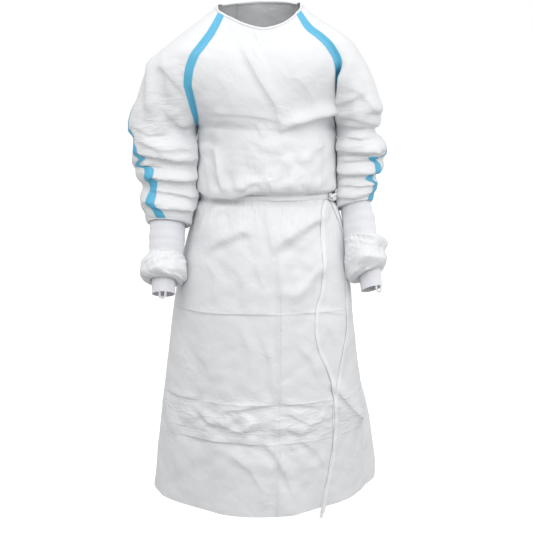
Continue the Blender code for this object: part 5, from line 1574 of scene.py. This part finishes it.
# %% [markdown]
# ## The knot
#
# The belt's two ends are tied once over. A simple knot is a trefoil: its line is
# (sin t + 2 sin 2t, cos t - 2 cos 2t, -sin 3t). The strip is crushed as it is pulled tight, so
# its section is a flattened round that grows and shrinks along the line.

# %% The knot at the wearer's left
KNOT_ANGLE = 27
KNOT_SIZE = (0.013, 0.0075, 0.0095)  # half sizes: along the belt, out from it, and up
KNOT_STRAND = (0.0082, 0.0046)

knot_turn = np.radians(np.array([KNOT_ANGLE - 1.0, KNOT_ANGLE, KNOT_ANGLE + 1.0]))
before, here, after = body_ring(knot_turn, np.full(3, BELT_Z))
knot_along = unit(before - after)
knot_up = np.array([0, 0, 1.0])
knot_out = unit(np.cross(knot_along, knot_up))
knot_out = knot_out if knot_out @ (here * [1, 1, 0]) > 0 else -knot_out
knot_centre = here + knot_out * (LIFT + BELT_THICKNESS + KNOT_SIZE[1])
t = np.linspace(0, 2 * math.pi, KNOT_STEPS, endpoint=False)
trefoil = np.stack([np.sin(t) + 2 * np.sin(2 * t), -np.sin(3 * t), np.cos(t) - 2 * np.cos(2 * t)], 1)
trefoil = trefoil / np.abs(trefoil).max(axis=0) * (np.array(KNOT_SIZE) - (0.0034, 0.0024, 0.0034))
axes = np.stack([knot_along, knot_out, knot_up])
knot_line = knot_centre + trefoil @ axes
ahead = unit(np.roll(knot_line, -1, 0) - np.roll(knot_line, 1, 0))
knot_side = unit(np.cross(ahead, knot_out + 0.4 * knot_up * np.sin(2 * t)[:, None]))
swell = 1 + 0.18 * np.sin(5 * t) + 0.10 * np.sin(9 * t + 1)
knot_face = np.cross(knot_side, ahead)
look = {"closed": True, "roundness": 2.6, "swell": swell}
meshes["belt_knot"] = strip_mesh("belt_knot", knot_line, knot_side, knot_face, KNOT_STRAND, **look)
print("knot centre:", np.round(knot_centre, 3))

# %% [markdown]
# ## The hanging ends
#
# Each end of the belt lies down the skirt. Its route is a short table of where it is seen from
# the front and how far it stands off the cloth, and the skirt under it gives the depth.

# %% Ties down the skirt
TIE_WIDTH = 0.0106
TIE_THICKNESS = 0.0010
TIE_SHARE = 0.25  # how much of its route's distance from the cloth a tie keeps
TiePoint = namedtuple("TiePoint", "x z out")
LONG_TIE = table(TiePoint, 3, (
    (163, -436.2, 4.5),
    (173, -458, 2),
    (189, -503, 1),
    (195, -543, 1),
    (198, -603, 1),
    (199, -664, 1),
    (201, -725, 1),
    (192, -776, 1),
    (182, -838, 1),
    (175, -874, 1),
    (171, -921, 1),
    (171, -994, 1),
    (164, -1037, 1),
    (150, -1111, 1),
    (142, -1154, 1),
    (139, -1169, 1),
))
# Below -850 the second end lies over the first, so it stands further out.
SHORT_TIE = table(TiePoint, 3, (
    (150, -435.2, 4.5),
    (142, -460, 2),
    (141, -523, 1),
    (146, -573, 1),
    (141, -633, 1),
    (129, -684, 1),
    (127, -725, 1),
    (135, -766, 1.2),
    (152, -807, 3),
    (166, -853, 6),
    (173, -895, 6.2),
    (173, -952, 6.2),
    (169, -1016, 6.2),
    (159, -1074, 6.2),
    (148, -1132, 6.2),
    (143.5, -1157, 6.2),
))


def seen_from_front(grid, values, x, z):
    """The grid's values at (x, z) as seen from the front, on its nearest face there."""
    faces = grid_faces(grid.shape[0], grid.shape[1], False)
    corner, value = grid.reshape(-1, 3)[faces], values.reshape(-1, 3)[faces]
    near = (corner[..., 0].max(1) > x.min()) & (corner[..., 0].min(1) < x.max())
    corner, value = corner[near], value[near]
    (ax, _, az), (bx, _, bz), (cx, _, cz) = (corner[:, k].T for k in range(3))
    size = (bx - ax) * (cz - az) - (cx - ax) * (bz - az)
    size = np.where(np.abs(size) < 1e-12, 1e-12, size)
    px, pz = x[:, None] - ax, z[:, None] - az
    u = (px * (cz - az) - (cx - ax) * pz) / size
    v = ((bx - ax) * pz - px * (bz - az)) / size
    inside = (u > -1e-6) & (v > -1e-6) & (u + v < 1 + 1e-6)
    weights = np.stack([1 - u - v, u, v], -1)
    depth = np.where(inside, np.einsum("pfk,fk->pf", weights, corner[:, :, 1]), 9.0)
    best = depth.argmin(axis=1)
    pick = np.arange(len(x))
    return np.einsum("pk,pkc->pc", weights[pick, best], value[best])


skirt = creased["front"][UNDERARM_AT + 38 :: 2, 60::2]
skirt_normals = creased_normals["front"][UNDERARM_AT + 38 :: 2, 60::2]


def tie_mesh(name, route, twist):
    """A tie along its route, lying on the skirt and turning a little on its own line."""
    steps = [math.hypot(b.x - a.x, b.z - a.z) for a, b in zip(route, route[1:])]
    run = np.concatenate([[0], np.cumsum(steps)])
    at = np.linspace(0, run[-1], TIE_STEPS)
    x, z, out = (curve(run, column(route, key), at) for key in ("x", "z", "out"))
    x = x + 0.0007 * np.sin(at * 60 + twist) * ease(at / 0.1)
    on_cloth = np.maximum(z, HEM_Z + 0.002)
    points = seen_from_front(skirt, skirt, x, on_cloth)
    normals = unit(seen_from_front(skirt, skirt_normals, x, on_cloth))
    points[:, 2] = z
    for _ in range(6):  # it spans the hollows
        points[1:-1, 1] = np.minimum(points[1:-1, 1], (points[:-2, 1] + points[2:, 1]) / 2)
    normals = smoothed(normals, 6)
    middle = points + normals * (TIE_SHARE * out + TIE_THICKNESS / 2 + 0.0003)[:, None]
    along = unit(np.gradient(middle, axis=0))
    turn = 0.05 * np.sin(at * 23 + twist) + 0.03 * np.sin(at * 71 + 2 * twist)
    across = unit(np.cross(along, normals))
    flat_out = np.cross(across, along)
    across, flat_out = (
        across * np.cos(turn)[:, None] + flat_out * np.sin(turn)[:, None],
        flat_out * np.cos(turn)[:, None] - across * np.sin(turn)[:, None],
    )
    swell = 1 + 0.3 * np.sin(at * 140 + twist) * np.sin(at * 31)
    return strip_mesh(name, middle, across, flat_out, (TIE_WIDTH, TIE_THICKNESS), swell=swell), run[-1]


meshes["tie_long"], long_length = tie_mesh("tie_long", LONG_TIE, 0.4)
meshes["tie_short"], short_length = tie_mesh("tie_short", SHORT_TIE, 2.1)
print("ties:", round(long_length, 3), round(short_length, 3))

# %% [markdown]
# ## Thumb loops and the neck's tab
#
# Each cuff has a loop of narrow elastic sewn to its edge, which holds a glove's edge or the
# thumb. Behind the neck a hook-and-loop tab holds the two back panels together.

# %% Loops and tab
LOOP_HALF = 0.0080  # half of its width at the cuff
LOOP_DROP = 0.0150
LOOP_ELASTIC = (0.0052, 0.0016)  # the elastic's width and thickness
LOOP_GAP = 0.0002
LOOP_ANGLES = {"right": 0, "left": 40}  # degrees round the cuff from its front


def thumb_loop(side, angle):
    """A loop of elastic in a U below the cuff's edge: drop = D sin(t)^0.45."""
    name = f"cuff_{side}"
    cuff, normals = lower[name], lower_normals[name]
    run = length_along(cuff[-1])
    turn = np.linspace(0, math.pi, LOOP_STEPS)
    stops = (angle + 90) / 360 * run[-1] - LOOP_HALF * np.cos(turn)
    down = smoothed(unit(resampled(cuff[-1] - cuff[-3], run, stops)), 12)
    out = smoothed(unit(resampled(normals[-1], run, stops)), 12)
    drop = LOOP_GAP + LOOP_DROP * np.sin(turn) ** 0.45
    middle = resampled(cuff[-1], run, stops) - out * KNIT / 2 + down * drop[:, None]
    along = unit(np.gradient(middle, axis=0))
    return strip_mesh(f"thumb_loop_{side}", middle, np.cross(along, out), out, LOOP_ELASTIC, roundness=3.4)


for side, angle in LOOP_ANGLES.items():
    meshes[f"thumb_loop_{side}"] = thumb_loop(side, angle)

TAB_HALF = 0.024  # half of its length, on either side of the outer panel's edge
TAB_LIFTS = (0.0012, 0.0024)  # its inner and outer face above the cloth
tab_edge = creased["back_right"][0][-1, 0]
near = np.abs(lapped_row(creased, creased, 1, 0)[:, 0] - tab_edge) < TAB_HALF
tab_points, tab_normals = (
    np.stack([lapped_row(creased, source, row, 0)[near][::-1] for row in (1, 2, 3, 4, 5)])
    for source in (creased, creased_normals)
)
tab_normals = smoothed(unit(tab_normals).swapaxes(0, 1), 8).swapaxes(0, 1)
for _ in range(8):
    tab_points[:, 1:-1] = (tab_points[:, :-2] + 2 * tab_points[:, 1:-1] + tab_points[:, 2:]) / 4
tab_in, tab_out = (tab_points + tab_normals * lift for lift in TAB_LIFTS)
meshes["neck_tab"] = wall_mesh("neck_tab", tab_out, tab_in, False, cloth_uv(tab_points))
print("tab:", tab_points.shape[:2])

# %% [markdown]
# ## Sewing
#
# The gown is sewn before its seams are taped. The untaped seams show their stitches: the side
# seams down the skirt, the sleeve hems over the bands, and both ends of the gathered sleeves.

# %% Rows of stitches
THREAD = 0.00030  # the stitches' radius
ON_CLOTH = 0.0001  # and their middle above the cloth
cloth, cloth_normals = creased | lower, creased_normals | lower_normals
seam_rows = slice(UNDERARM_AT + 2, None)
for side, seam_column in (("right", 0), ("left", -1)):
    # a row's name, the piece it is on, where on its grid, its stitches' length and their gap
    for name, piece, place, length, gap in (
        ("side_stitches", "front", (seam_rows, seam_column), 0.0032, 0.0010),
        ("hem_stitches", f"sleeve_{side}", -3, 0.0026, 0.0010),
        ("gather_stitches_top", f"lower_sleeve_{side}", 3, 0.0024, 0.0008),
        ("gather_stitches_bottom", f"lower_sleeve_{side}", -4, 0.0024, 0.0008),
    ):
        name, out = f"{name}_{side}", cloth_normals[piece][place]
        line = cloth[piece][place] + out * ON_CLOTH
        meshes[name] = stitch_mesh(name, line, out, length, gap, THREAD)
print("rows of stitches:", sum("stitches" in name for name in meshes))

# %% [markdown]
# ## Writing shader maths
#
# A finish is a short formula: how light, how rough and how high the surface is at each place.
# A small class lets those formulas be written as sums and products, and makes one node for
# each step.

# %% A class for shader values
class Finish:
    """A material under construction; its node() method makes any node."""

    def __init__(self, name):
        self.material = bpy.data.materials.new(name)
        self.material.use_nodes = True
        self.tree = self.material.node_tree
        self.shader = self.tree.nodes["Principled BSDF"]

    def node(self, kind, settings=None, out=0, **inputs):
        """A node of that kind, with its settings, and its inputs as values or links."""
        made = self.tree.nodes.new(kind)
        for key, value in (settings or {}).items():
            setattr(made, key, value)
        for key, value in inputs.items():
            number = key.removeprefix("at")
            socket = made.inputs[int(number)] if number.isdigit() else made.inputs[key.replace("_", " ")]
            self.feed(socket, value)
        return Value(self, made.outputs[out])

    def feed(self, socket, value):
        if isinstance(value, Value):
            self.tree.links.new(value.socket, socket)
        else:
            socket.default_value = value


class Value:
    """A number in a shader: +, - and * make Math nodes, also with the number first."""

    def __init__(self, finish, socket):
        self.finish, self.socket = finish, socket

    def maths(self, operation, first, second=0.0):
        return self.finish.node("ShaderNodeMath", {"operation": operation}, at0=first, at1=second)

    def __add__(self, other):
        return self.maths("ADD", self, other)

    def __sub__(self, other):
        return self.maths("SUBTRACT", self, other)

    def __rsub__(self, other):
        return self.maths("SUBTRACT", other, self)

    def __mul__(self, other):
        return self.maths("MULTIPLY", self, other)

    def sine(self):
        return self.maths("SINE", self)

    def size(self):
        return self.maths("ABSOLUTE", self)

    def at_most(self, limit):
        return self.maths("MINIMUM", self, limit)

    def at_least(self, limit):
        return self.maths("MAXIMUM", self, limit)

    def held(self):
        """Held between 0 and 1."""
        return self.at_least(0.0).at_most(1.0)

    def power(self, index):
        return self.maths("POWER", self, index)

    __radd__, __rmul__ = __add__, __mul__


def start_finish(name, roughness, sheen=0.0, coat=0.0):
    """A new finish with its constant sockets set: those that are the same all over."""
    finish = Finish(name)
    constants = {"Metallic": 0.0, "Roughness": roughness, "IOR": 1.49}
    constants |= {"Sheen Weight": sheen, "Sheen Roughness": 0.4}
    constants |= {"Coat Weight": coat, "Coat Roughness": 0.35}
    for key, value in constants.items():
        finish.shader.inputs[key].default_value = value
    return finish


def along_cloth(finish):
    """Where a point lies on the flat cloth: across and down, in metres."""
    uv = finish.node("ShaderNodeUVMap", {"uv_map": "along_cloth"})
    parts = finish.node("ShaderNodeSeparateXYZ", at0=uv)
    return uv, parts, Value(finish, parts.socket.node.outputs[1])


def noise(finish, place, scale, detail=3.0, roughness=0.5, stretch=None):
    """Smooth noise of a scale per metre, stretched where asked."""
    if stretch is not None:
        place = finish.node("ShaderNodeMapping", at0=place, Scale=stretch)
    return finish.node("ShaderNodeTexNoise", Vector=place, Scale=scale, Detail=detail, Roughness=roughness)


def blended(finish, factor, low, high):
    """A colour between two, by a factor."""
    return finish.node(
        "ShaderNodeMix", {"data_type": "RGBA"}, out=2, at0=factor, at6=(*low, 1.0), at7=(*high, 1.0)
    )


BUMP = 0.001  # a relief of 1 stands for a height of one millimetre
BOND_PITCH = 2990.0  # radians for each metre: the bonding points are about a millimetre apart


def bond_points(across, down, sharpness):
    """The cloth's bonding points, 0 in each point's middle: 1 - |sin u sin v|^k."""
    waves = (across * BOND_PITCH).sine() * (down * BOND_PITCH).sine()
    return 1.0 - waves.size().power(sharpness)


def finished(finish, colour, roughness, relief):
    """Feeds the colour, the roughness and the relief to the shader."""
    finish.feed(finish.shader.inputs["Base Color"], colour)
    finish.feed(finish.shader.inputs["Roughness"], roughness)
    bump = finish.node("ShaderNodeBump", Strength=1.0, Distance=BUMP, Height=relief)
    finish.feed(finish.shader.inputs["Normal"], bump)
    return finish.material


print("a finish is made of formulas")

# %% [markdown]
# ## Coated nonwoven
#
# The cloth is a thin felt of polypropylene fibres, bonded in rows of small points, with a
# plastic film over it. So it is bright white, softly satin and faintly cloudy. Its relief has
# the bonding points, about a millimetre apart, and small sharp creases like paper's. The panels
# also have their packing lines and the wrinkles at the knees and the belt.

# %% The gown's cloth
WHITE = (0.79, 0.80, 0.812)
CLOUD = (0.745, 0.757, 0.775)
TIE_PAINTED_LIGHT = (0.90, 0.905, 0.915)  # the gown's own cloth, painted lighter: painted light, so that the ties show as bright strips

# The rib knit's white: a little whiter than the cloth, as the knit is, and painted lighter still. This
# painted light makes up for the shade in its ribs and under the sleeve's hem.
KNIT_WHITE_AND_PAINTED_LIGHT = (0.90, 0.905, 0.945)
ELASTIC_WHITE = (0.80, 0.805, 0.82)
TAPE_DEEP, TAPE_BLUE = (0.080, 0.425, 0.640), (0.110, 0.470, 0.695)
THREAD_TONE_AND_SHADE, THREAD_WHITE = (0.66, 0.67, 0.69), (0.78, 0.79, 0.80)

PACKING_LINE = 0.043  # a fold line from packing, beside the middle of each piece
PACKING_DEPTHS = (0.681, 0.887, 0.976)  # how far below the origin its three level ones lie
KNEE_DEPTH = 0.935
FADE = 250.0  # a fold line fades out 1 / FADE metres from its middle

# Where those lie on the flat cloth, measured down the front from the neckline.
depths = -np.array([UNDERARM_Z, *BODY_LEVELS])
down_front = -cloth_uv(smooth["front"])[UNDERARM_AT:, 0, 1]
PACKING_ROWS = np.interp(PACKING_DEPTHS, depths, down_front)
KNEE_ROW, BELT_ROW = (float(np.interp(depth, depths, down_front)) for depth in (KNEE_DEPTH, -BELT_Z))


def wrinkles(finish, uv, scale, sharpness, stretch=None):
    """Thin crisp lines, where smooth noise passes its middle: 1 - k|n - 1/2|."""
    level = noise(finish, uv, scale, 2.0, 0.5, stretch)
    return (1.0 - (level - 0.5).size() * sharpness).at_least(0.0)


def packing_lines(across, down):
    """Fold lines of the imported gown, one upright and three level: 1 - |distance| / 4 mm."""
    lines = (1.0 - (across - PACKING_LINE).size() * FADE).at_least(0.0) * 1.7
    lines = lines * ((down * -1.0 - 0.58) * 12.0).held()  # the upright one starts at the hips
    for row in PACKING_ROWS:
        level = (1.0 - (down + float(row)).size() * FADE).at_least(0.0)
        lines = lines + level * 0.9
    return lines


def band(down, row, reach):
    """1 at a row of the cloth, falling to 0 at a reach above and below it."""
    return (1.0 - ((down + row) * (1.0 / reach)).power(2.0)).at_least(0.0)


def sewn_lines(finish, uv, across, down, part):
    """Wrinkles that belong to a part: at the knees and the belt, or across a rucked sleeve."""
    if part == "panel":
        knee = wrinkles(finish, uv, 9.0, 20.0, (1.0, 3.4, 1.0))
        knee = knee + wrinkles(finish, uv, 16.0, 16.0, (1.0, 2.6, 1.0)) * 0.7
        drawn_in = wrinkles(finish, uv, 9.0, 14.0, (3.6, 1.0, 1.0))
        pulls = band(down, BELT_ROW - 0.030, 0.075) + band(down, BELT_ROW + 0.040, 0.085)
        lines = knee * band(down, KNEE_ROW, 0.075) * 0.6 + drawn_in * pulls * 0.6
        return lines + packing_lines(across, down) * 0.7
    rucks = wrinkles(finish, uv, 11.0, 14.0, (0.8, 3.0, 1.0))
    rucks = rucks + wrinkles(finish, uv, 20.0, 12.0, (1.0, 2.2, 1.0)) * 0.5
    return rucks * ((down * -1.0 - 0.20) * 8.0).held() * 0.55


def nonwoven(name, roughness=0.5, strength=1.0, part=None, white=WHITE):
    """The gown's cloth, its creases as strong as strength says, with the wrinkles of a part."""
    finish = start_finish(name, roughness, sheen=0.05, coat=0.06)
    uv, across, down = along_cloth(finish)
    bent = finish.node("ShaderNodeVectorMath", {"operation": "ADD"}, at0=uv, at1=(0.31, 0.17, 0.0))
    clouds = noise(finish, uv, 28.0, 4.0, 0.6)
    fibres = noise(finish, uv, 900.0, 2.0, 0.6, stretch=(1.0, 0.35, 1.0))
    colour = blended(finish, clouds * 0.6 + fibres * 0.4, white, CLOUD)
    bonds = bond_points(across, down, 3.0)
    kind, to_edge = "ShaderNodeTexVoronoi", {"feature": "DISTANCE_TO_EDGE"}
    small, tiny, large = (
        finish.node(kind, to_edge, Vector=place, Scale=scale, Randomness=1.0)
        for scale, place in ((46.0, uv), (95.0, bent), (19.0, uv))
    )
    patches = (noise(finish, uv, 17.0, 2.0) * 4.0 - 1.75).held()
    sharp = (small * 3.0).at_most(1.0) + (tiny * 3.0).at_most(1.0) * 0.45
    facets = large * (noise(finish, bent, 9.0, 1.0) * 3.0 - 0.9).at_least(0.15).at_most(1.0)
    lines = wrinkles(finish, uv, 8.0, 34.0) * (patches * 0.8 + 0.2)
    lines = lines + wrinkles(finish, bent, 15.0, 26.0) * patches * 0.6
    relief = sharp * patches * 0.42 + facets * 2.0 + lines * 0.42
    relief = relief + noise(finish, uv, 60.0, 3.0, 0.55) * 0.12
    if part:
        relief = relief + sewn_lines(finish, uv, across, down, part)
    relief = relief * strength + bonds * 0.018 + fibres * 0.03
    film = clouds * 0.10 + bonds * 0.05 + (roughness - 0.08)
    return finished(finish, colour, film, relief)


print("white of the cloth:", WHITE)

# %% [markdown]
# ## Knit, elastic, tape, ties and thread
#
# The knit is matt, a little bluer and whiter than the cloth, and painted lighter still as painted
# light. Knit and elastic have their stitches' outlines painted a little darker as painted shade. The tape is
# a satin blue film that shows the cloth's bonding points faintly. The ties are the same cloth as the gown,
# folded, and painted lighter than it as painted light. The thread is a twisted white yarn, painted darker
# between its plies as painted shade.

# %% The other finishes
TURN = 6.2832  # radians in a whole turn
RIB_STITCH, ELASTIC_STITCH = 0.0011, 0.0008  # the width of a stitch
PLY_PITCH = 9000.0  # radians for each metre: the plies cross a stitch about 0.35 mm apart


def knit_finish(name, colour, stitch):
    """Knit: rows of V stitches, sin(u) sin(v + |sin u|), over a soft fuzz."""
    finish = start_finish(name, 0.88, sheen=0.22)
    uv, across, down = along_cloth(finish)
    wale = (across * (TURN / stitch)).sine()
    course = (down * (TURN / (stitch * 0.75)) + wale.size() * 1.6).sine()
    fuzz = noise(finish, uv, 1400.0, 3.0, 0.7)
    clouds = noise(finish, uv, 45.0, 3.0)
    low = tuple(c * 0.94 for c in colour)
    # The tint varies at random with the clouds and the fuzz. It is also painted a little darker along the
    # stitches' outlines: painted shade between the loops.
    tint = blended(finish, clouds * 0.5 + fuzz * 0.35 + course.size() * 0.15, low, colour)
    relief = course * 0.10 + wale.size() * 0.10 + fuzz * 0.10 + clouds * 0.12
    return finished(finish, tint, fuzz * 0.15 + 0.78, relief)


def tape_finish(name):
    """Film tape: one blue, a shade deeper in patches, with the cloth's points showing through."""
    finish = start_finish(name, 0.45, coat=0.10)
    uv, across, down = along_cloth(finish)
    clouds = noise(finish, uv, 60.0, 3.0, 0.6)
    bonds = bond_points(across, down, 2.0)
    colour = blended(finish, clouds * 0.8 + bonds * 0.2, TAPE_DEEP, TAPE_BLUE)
    relief = clouds * 0.25 + bonds * 0.04 + noise(finish, uv, 260.0, 2.0) * 0.06
    return finished(finish, colour, clouds * 0.10 + 0.37, relief)


def thread_finish(name):
    """Thread: two plies twisted, a slanting wave along each stitch, painted darker between the plies as
    painted shade.
    """
    finish = start_finish(name, 0.7, sheen=0.1)
    uv, across, down = along_cloth(finish)
    ply = (across * PLY_PITCH + down * PLY_PITCH).sine()
    clouds = noise(finish, uv, 300.0)
    # Darker at random in clouds, and painted darker where the two plies meet: painted shade between them.
    colour = blended(finish, clouds * 0.6 + ply.size() * 0.4, THREAD_TONE_AND_SHADE, THREAD_WHITE)
    return finished(finish, colour, clouds * 0.1 + 0.65, ply * 0.05)


finishes = {
    "panel": (nonwoven("coated_nonwoven", part="panel"), "nonwoven_cloth"),
    "sleeve": (nonwoven("rucked_nonwoven", part="sleeve"), "nonwoven_cloth"),
    "puff": (nonwoven("gathered_nonwoven", strength=1.15), "nonwoven_cloth"),
    "binding": (nonwoven("folded_nonwoven", 0.52, 0.3), "nonwoven_cloth"),
    # the ties' cloth is painted lighter than the gown's: painted light
    "tie": (nonwoven("tie_nonwoven_painted_light", 0.56, 0.35, white=TIE_PAINTED_LIGHT), "tie_fabric"),
    # the rib knit's white is partly its own and partly painted light
    "knit": (knit_finish("rib_knit", KNIT_WHITE_AND_PAINTED_LIGHT, RIB_STITCH), "knit"),
    "elastic": (knit_finish("woven_elastic", ELASTIC_WHITE, ELASTIC_STITCH), "elastic"),
    "tape": (tape_finish("seam_tape_film"), "seam_tape"),
    "thread": (thread_finish("sewing_thread"), "nonwoven_cloth"),
}
print("finishes:", {key: len(made[0].node_tree.nodes) for key, made in finishes.items()})

# %% [markdown]
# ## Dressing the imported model
#
# Every piece now takes the place of its plain solid, gets its finish, and rides on the gown's
# one body.

# %% Pieces, finishes and nodes
# A piece's finish, by its name's first word; the binding is the only other one.
KINDS = {"front": "panel", "back": "panel", "sleeve": "sleeve", "lower": "puff", "forearm": "knit"}
KINDS |= {"cuff": "knit", "thumb": "elastic", "tape": "tape", "belt": "tie", "tie": "tie"}
for name, mesh in meshes.items():
    stitched = "stitches" in name
    kind = "thread" if stitched else KINDS.get(name.split("_")[0], "binding")
    kind = "tie" if name == "neck_tab" else kind
    material, slot = finishes[kind]
    mesh.materials.append(material)
    piece = bpy.data.objects.new(name if stitched else f"{name}_piece", mesh)
    bpy.context.scene.collection.objects.link(piece)
    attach(piece, "root")
    if not stitched:
        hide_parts(name)
triangles = {name: sum(len(p.vertices) - 2 for p in mesh.polygons) for name, mesh in meshes.items()}
largest = max(triangles, key=triangles.get)
print("triangles:", sum(triangles.values()), "largest:", largest, triangles[largest])

# %% [markdown]
# ## The flat pattern
#
# The flat sizes of each sheet are measured along the cloth and printed: how wide each piece is at
# its widest row, how long its longest column is, and its area.

# %% Flat sizes
def flat_area(grid):
    """The cloth's area: the sum of its triangles on one side."""
    corner = grid.reshape(-1, 3)[grid_faces(grid.shape[0], grid.shape[1], False)]
    doubled = np.cross(corner[:, 1] - corner[:, 0], corner[:, 2] - corner[:, 0])
    return float(np.linalg.norm(doubled, axis=1).sum() / 2)


def declare_sheet(name, grid):
    """Works out a sheet's flat width, length and area, and prints them."""
    width = float(row_runs(grid)[:, -1].max())
    down = np.linalg.norm(np.diff(grid, axis=0), axis=2).sum(axis=0)
    length = float(down.max())
    area, flat = min(flat_area(grid), width * length), (width, length)
    print(f"{name}: {width:.3f} x {length:.3f} m, {area:.4f} square metres")


ON_FRONT = ("side_stitches_right", "side_stitches_left", "neck_binding", "neck_stitches")
ON_FRONT += ("belt", "belt_knot", "tie_long", "tie_short")
for name, grid in creased.items():
    side = name.split("_")[-1]
    if name == "front":
        declare_sheet(name, grid)
    elif name.startswith("back"):
        tab = ["neck_tab"] if side == "right" else []
        declare_sheet(name, grid)
    else:
        declare_sheet(name, grid)
for name, grid in lower.items():
    side = name.split("_")[-1]
    held = "gathered" if name.startswith("lower") else "stretched"
    companions = [f"gather_stitches_{end}_{side}" for end in ("top", "bottom")] if held == "gathered" else []
    companions += [f"thumb_loop_{side}"] if name.startswith("cuff") else []
    declare_sheet(name, grid)

# %% [markdown]
# ## Floor and light
#
# The photograph is lit softly from above and in front against pure white. The floor is plain
# and pale, the world is white and brightest above, and four large soft lights model the folds.

# %% The studio
FLOOR_Z = -1.45
FLOOR_HALF = 60.0
FLOOR_GLOW = 0.45
WORLD_BELOW, WORLD_ABOVE = 0.34, 0.98  # the world's strength straight below and straight above
# Each soft light: its name, its place, its aim, its size in metres and its power in watts.
LIGHTS = (
    ("key_front_above", (0.4, -2.4, 1.2), (0.0, 0.0, -0.35), 1.3, 18.0),
    ("top_soft", (0.0, -1.0, 2.3), (0.0, 0.0, -0.3), 2.2, 12.0),
    ("fill_left_side", (2.6, -1.2, 0.2), (0.0, 0.0, -0.4), 2.0, 17.0),
    ("fill_right_side", (-2.0, -1.2, 1.7), (0.0, 0.0, 0.0), 1.4, 11.0),
)


def stage_floor():
    """A large square floor, well below the hem."""
    mesh = bpy.data.meshes.new("studio_floor")
    corners = np.array([[-1, -1, 0], [1, -1, 0], [1, 1, 0], [-1, 1, 0]]) * FLOOR_HALF + (0, 0, FLOOR_Z)
    mesh.from_pydata([tuple(c) for c in corners], [], [(0, 1, 2, 3)])
    finish = start_finish("studio_floor", 0.9)
    finish.feed(finish.shader.inputs["Base Color"], (0.90, 0.90, 0.90, 1.0))
    finish.feed(finish.shader.inputs["Emission Color"], (1.0, 1.0, 1.0, 1.0))
    finish.feed(finish.shader.inputs["Emission Strength"], FLOOR_GLOW)
    mesh.materials.append(finish.material)
    floor = bpy.data.objects.new("studio_floor", mesh)
    floor.visible_diffuse = False
    floor.visible_glossy = False
    bpy.context.scene.collection.objects.link(floor)
    floor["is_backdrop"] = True


def soft_light(name, place, aim, size, power):
    """A large square light at a place, turned to its aim."""
    data = bpy.data.lights.new(name, "AREA")
    data.shape = "SQUARE"
    data.size = size
    data.energy = power
    light = bpy.data.objects.new(name, data)
    away = unit(np.array(place) - np.array(aim))
    side = unit(np.cross([0, 0, 1.0], away))
    over = np.cross(away, side)
    turned = np.eye(4)
    turned[:3, 0], turned[:3, 1], turned[:3, 2], turned[:3, 3] = side, over, away, place
    light.matrix_world = Matrix(turned.tolist())
    bpy.context.scene.collection.objects.link(light)


def white_world(below, above):
    """Light from all round, growing from below to above; the camera itself sees plain white."""
    world = bpy.data.worlds.new("studio")
    bpy.context.scene.world = world
    world.use_nodes = True
    nodes, links = world.node_tree.nodes, world.node_tree.links
    way = nodes.new("ShaderNodeTexCoord")
    parts = nodes.new("ShaderNodeSeparateXYZ")
    level = nodes.new("ShaderNodeMapRange")
    level.inputs["From Min"].default_value, level.inputs["From Max"].default_value = -1.0, 1.0
    level.inputs["To Min"].default_value, level.inputs["To Max"].default_value = below, above
    seen, choice = nodes.new("ShaderNodeLightPath"), nodes.new("ShaderNodeMix")
    choice.inputs["B"].default_value = 1.0
    links.new(way.outputs["Generated"], parts.inputs[0])
    links.new(parts.outputs["Z"], level.inputs["Value"])
    links.new(seen.outputs["Is Camera Ray"], choice.inputs["Factor"])
    links.new(level.outputs["Result"], choice.inputs["A"])
    links.new(choice.outputs["Result"], nodes["Background"].inputs["Strength"])
    nodes["Background"].inputs["Color"].default_value = (1.0, 1.0, 1.0, 1.0)


stage_floor()
white_world(WORLD_BELOW, WORLD_ABOVE)
for light in LIGHTS:
    soft_light(*light)
bpy.context.scene.view_settings.view_transform = "Standard"
print("lights:", [o.name for o in bpy.data.objects if o.type == "LIGHT"])

# %% [markdown]
# ## The last measurements
#
# Both boxes, the imported model's and the dressed gown's, are measured and printed.

# %% Sizes
visual_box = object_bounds()
boxes = {"cad": cad_box, "visual": visual_box}
{key: [[float(v) for v in corner] for corner in box] for key, box in boxes.items()}
print("packed:", np.round(np.array(cad_box), 3).tolist())
print("dressed:", np.round(np.array(visual_box), 3).tolist())
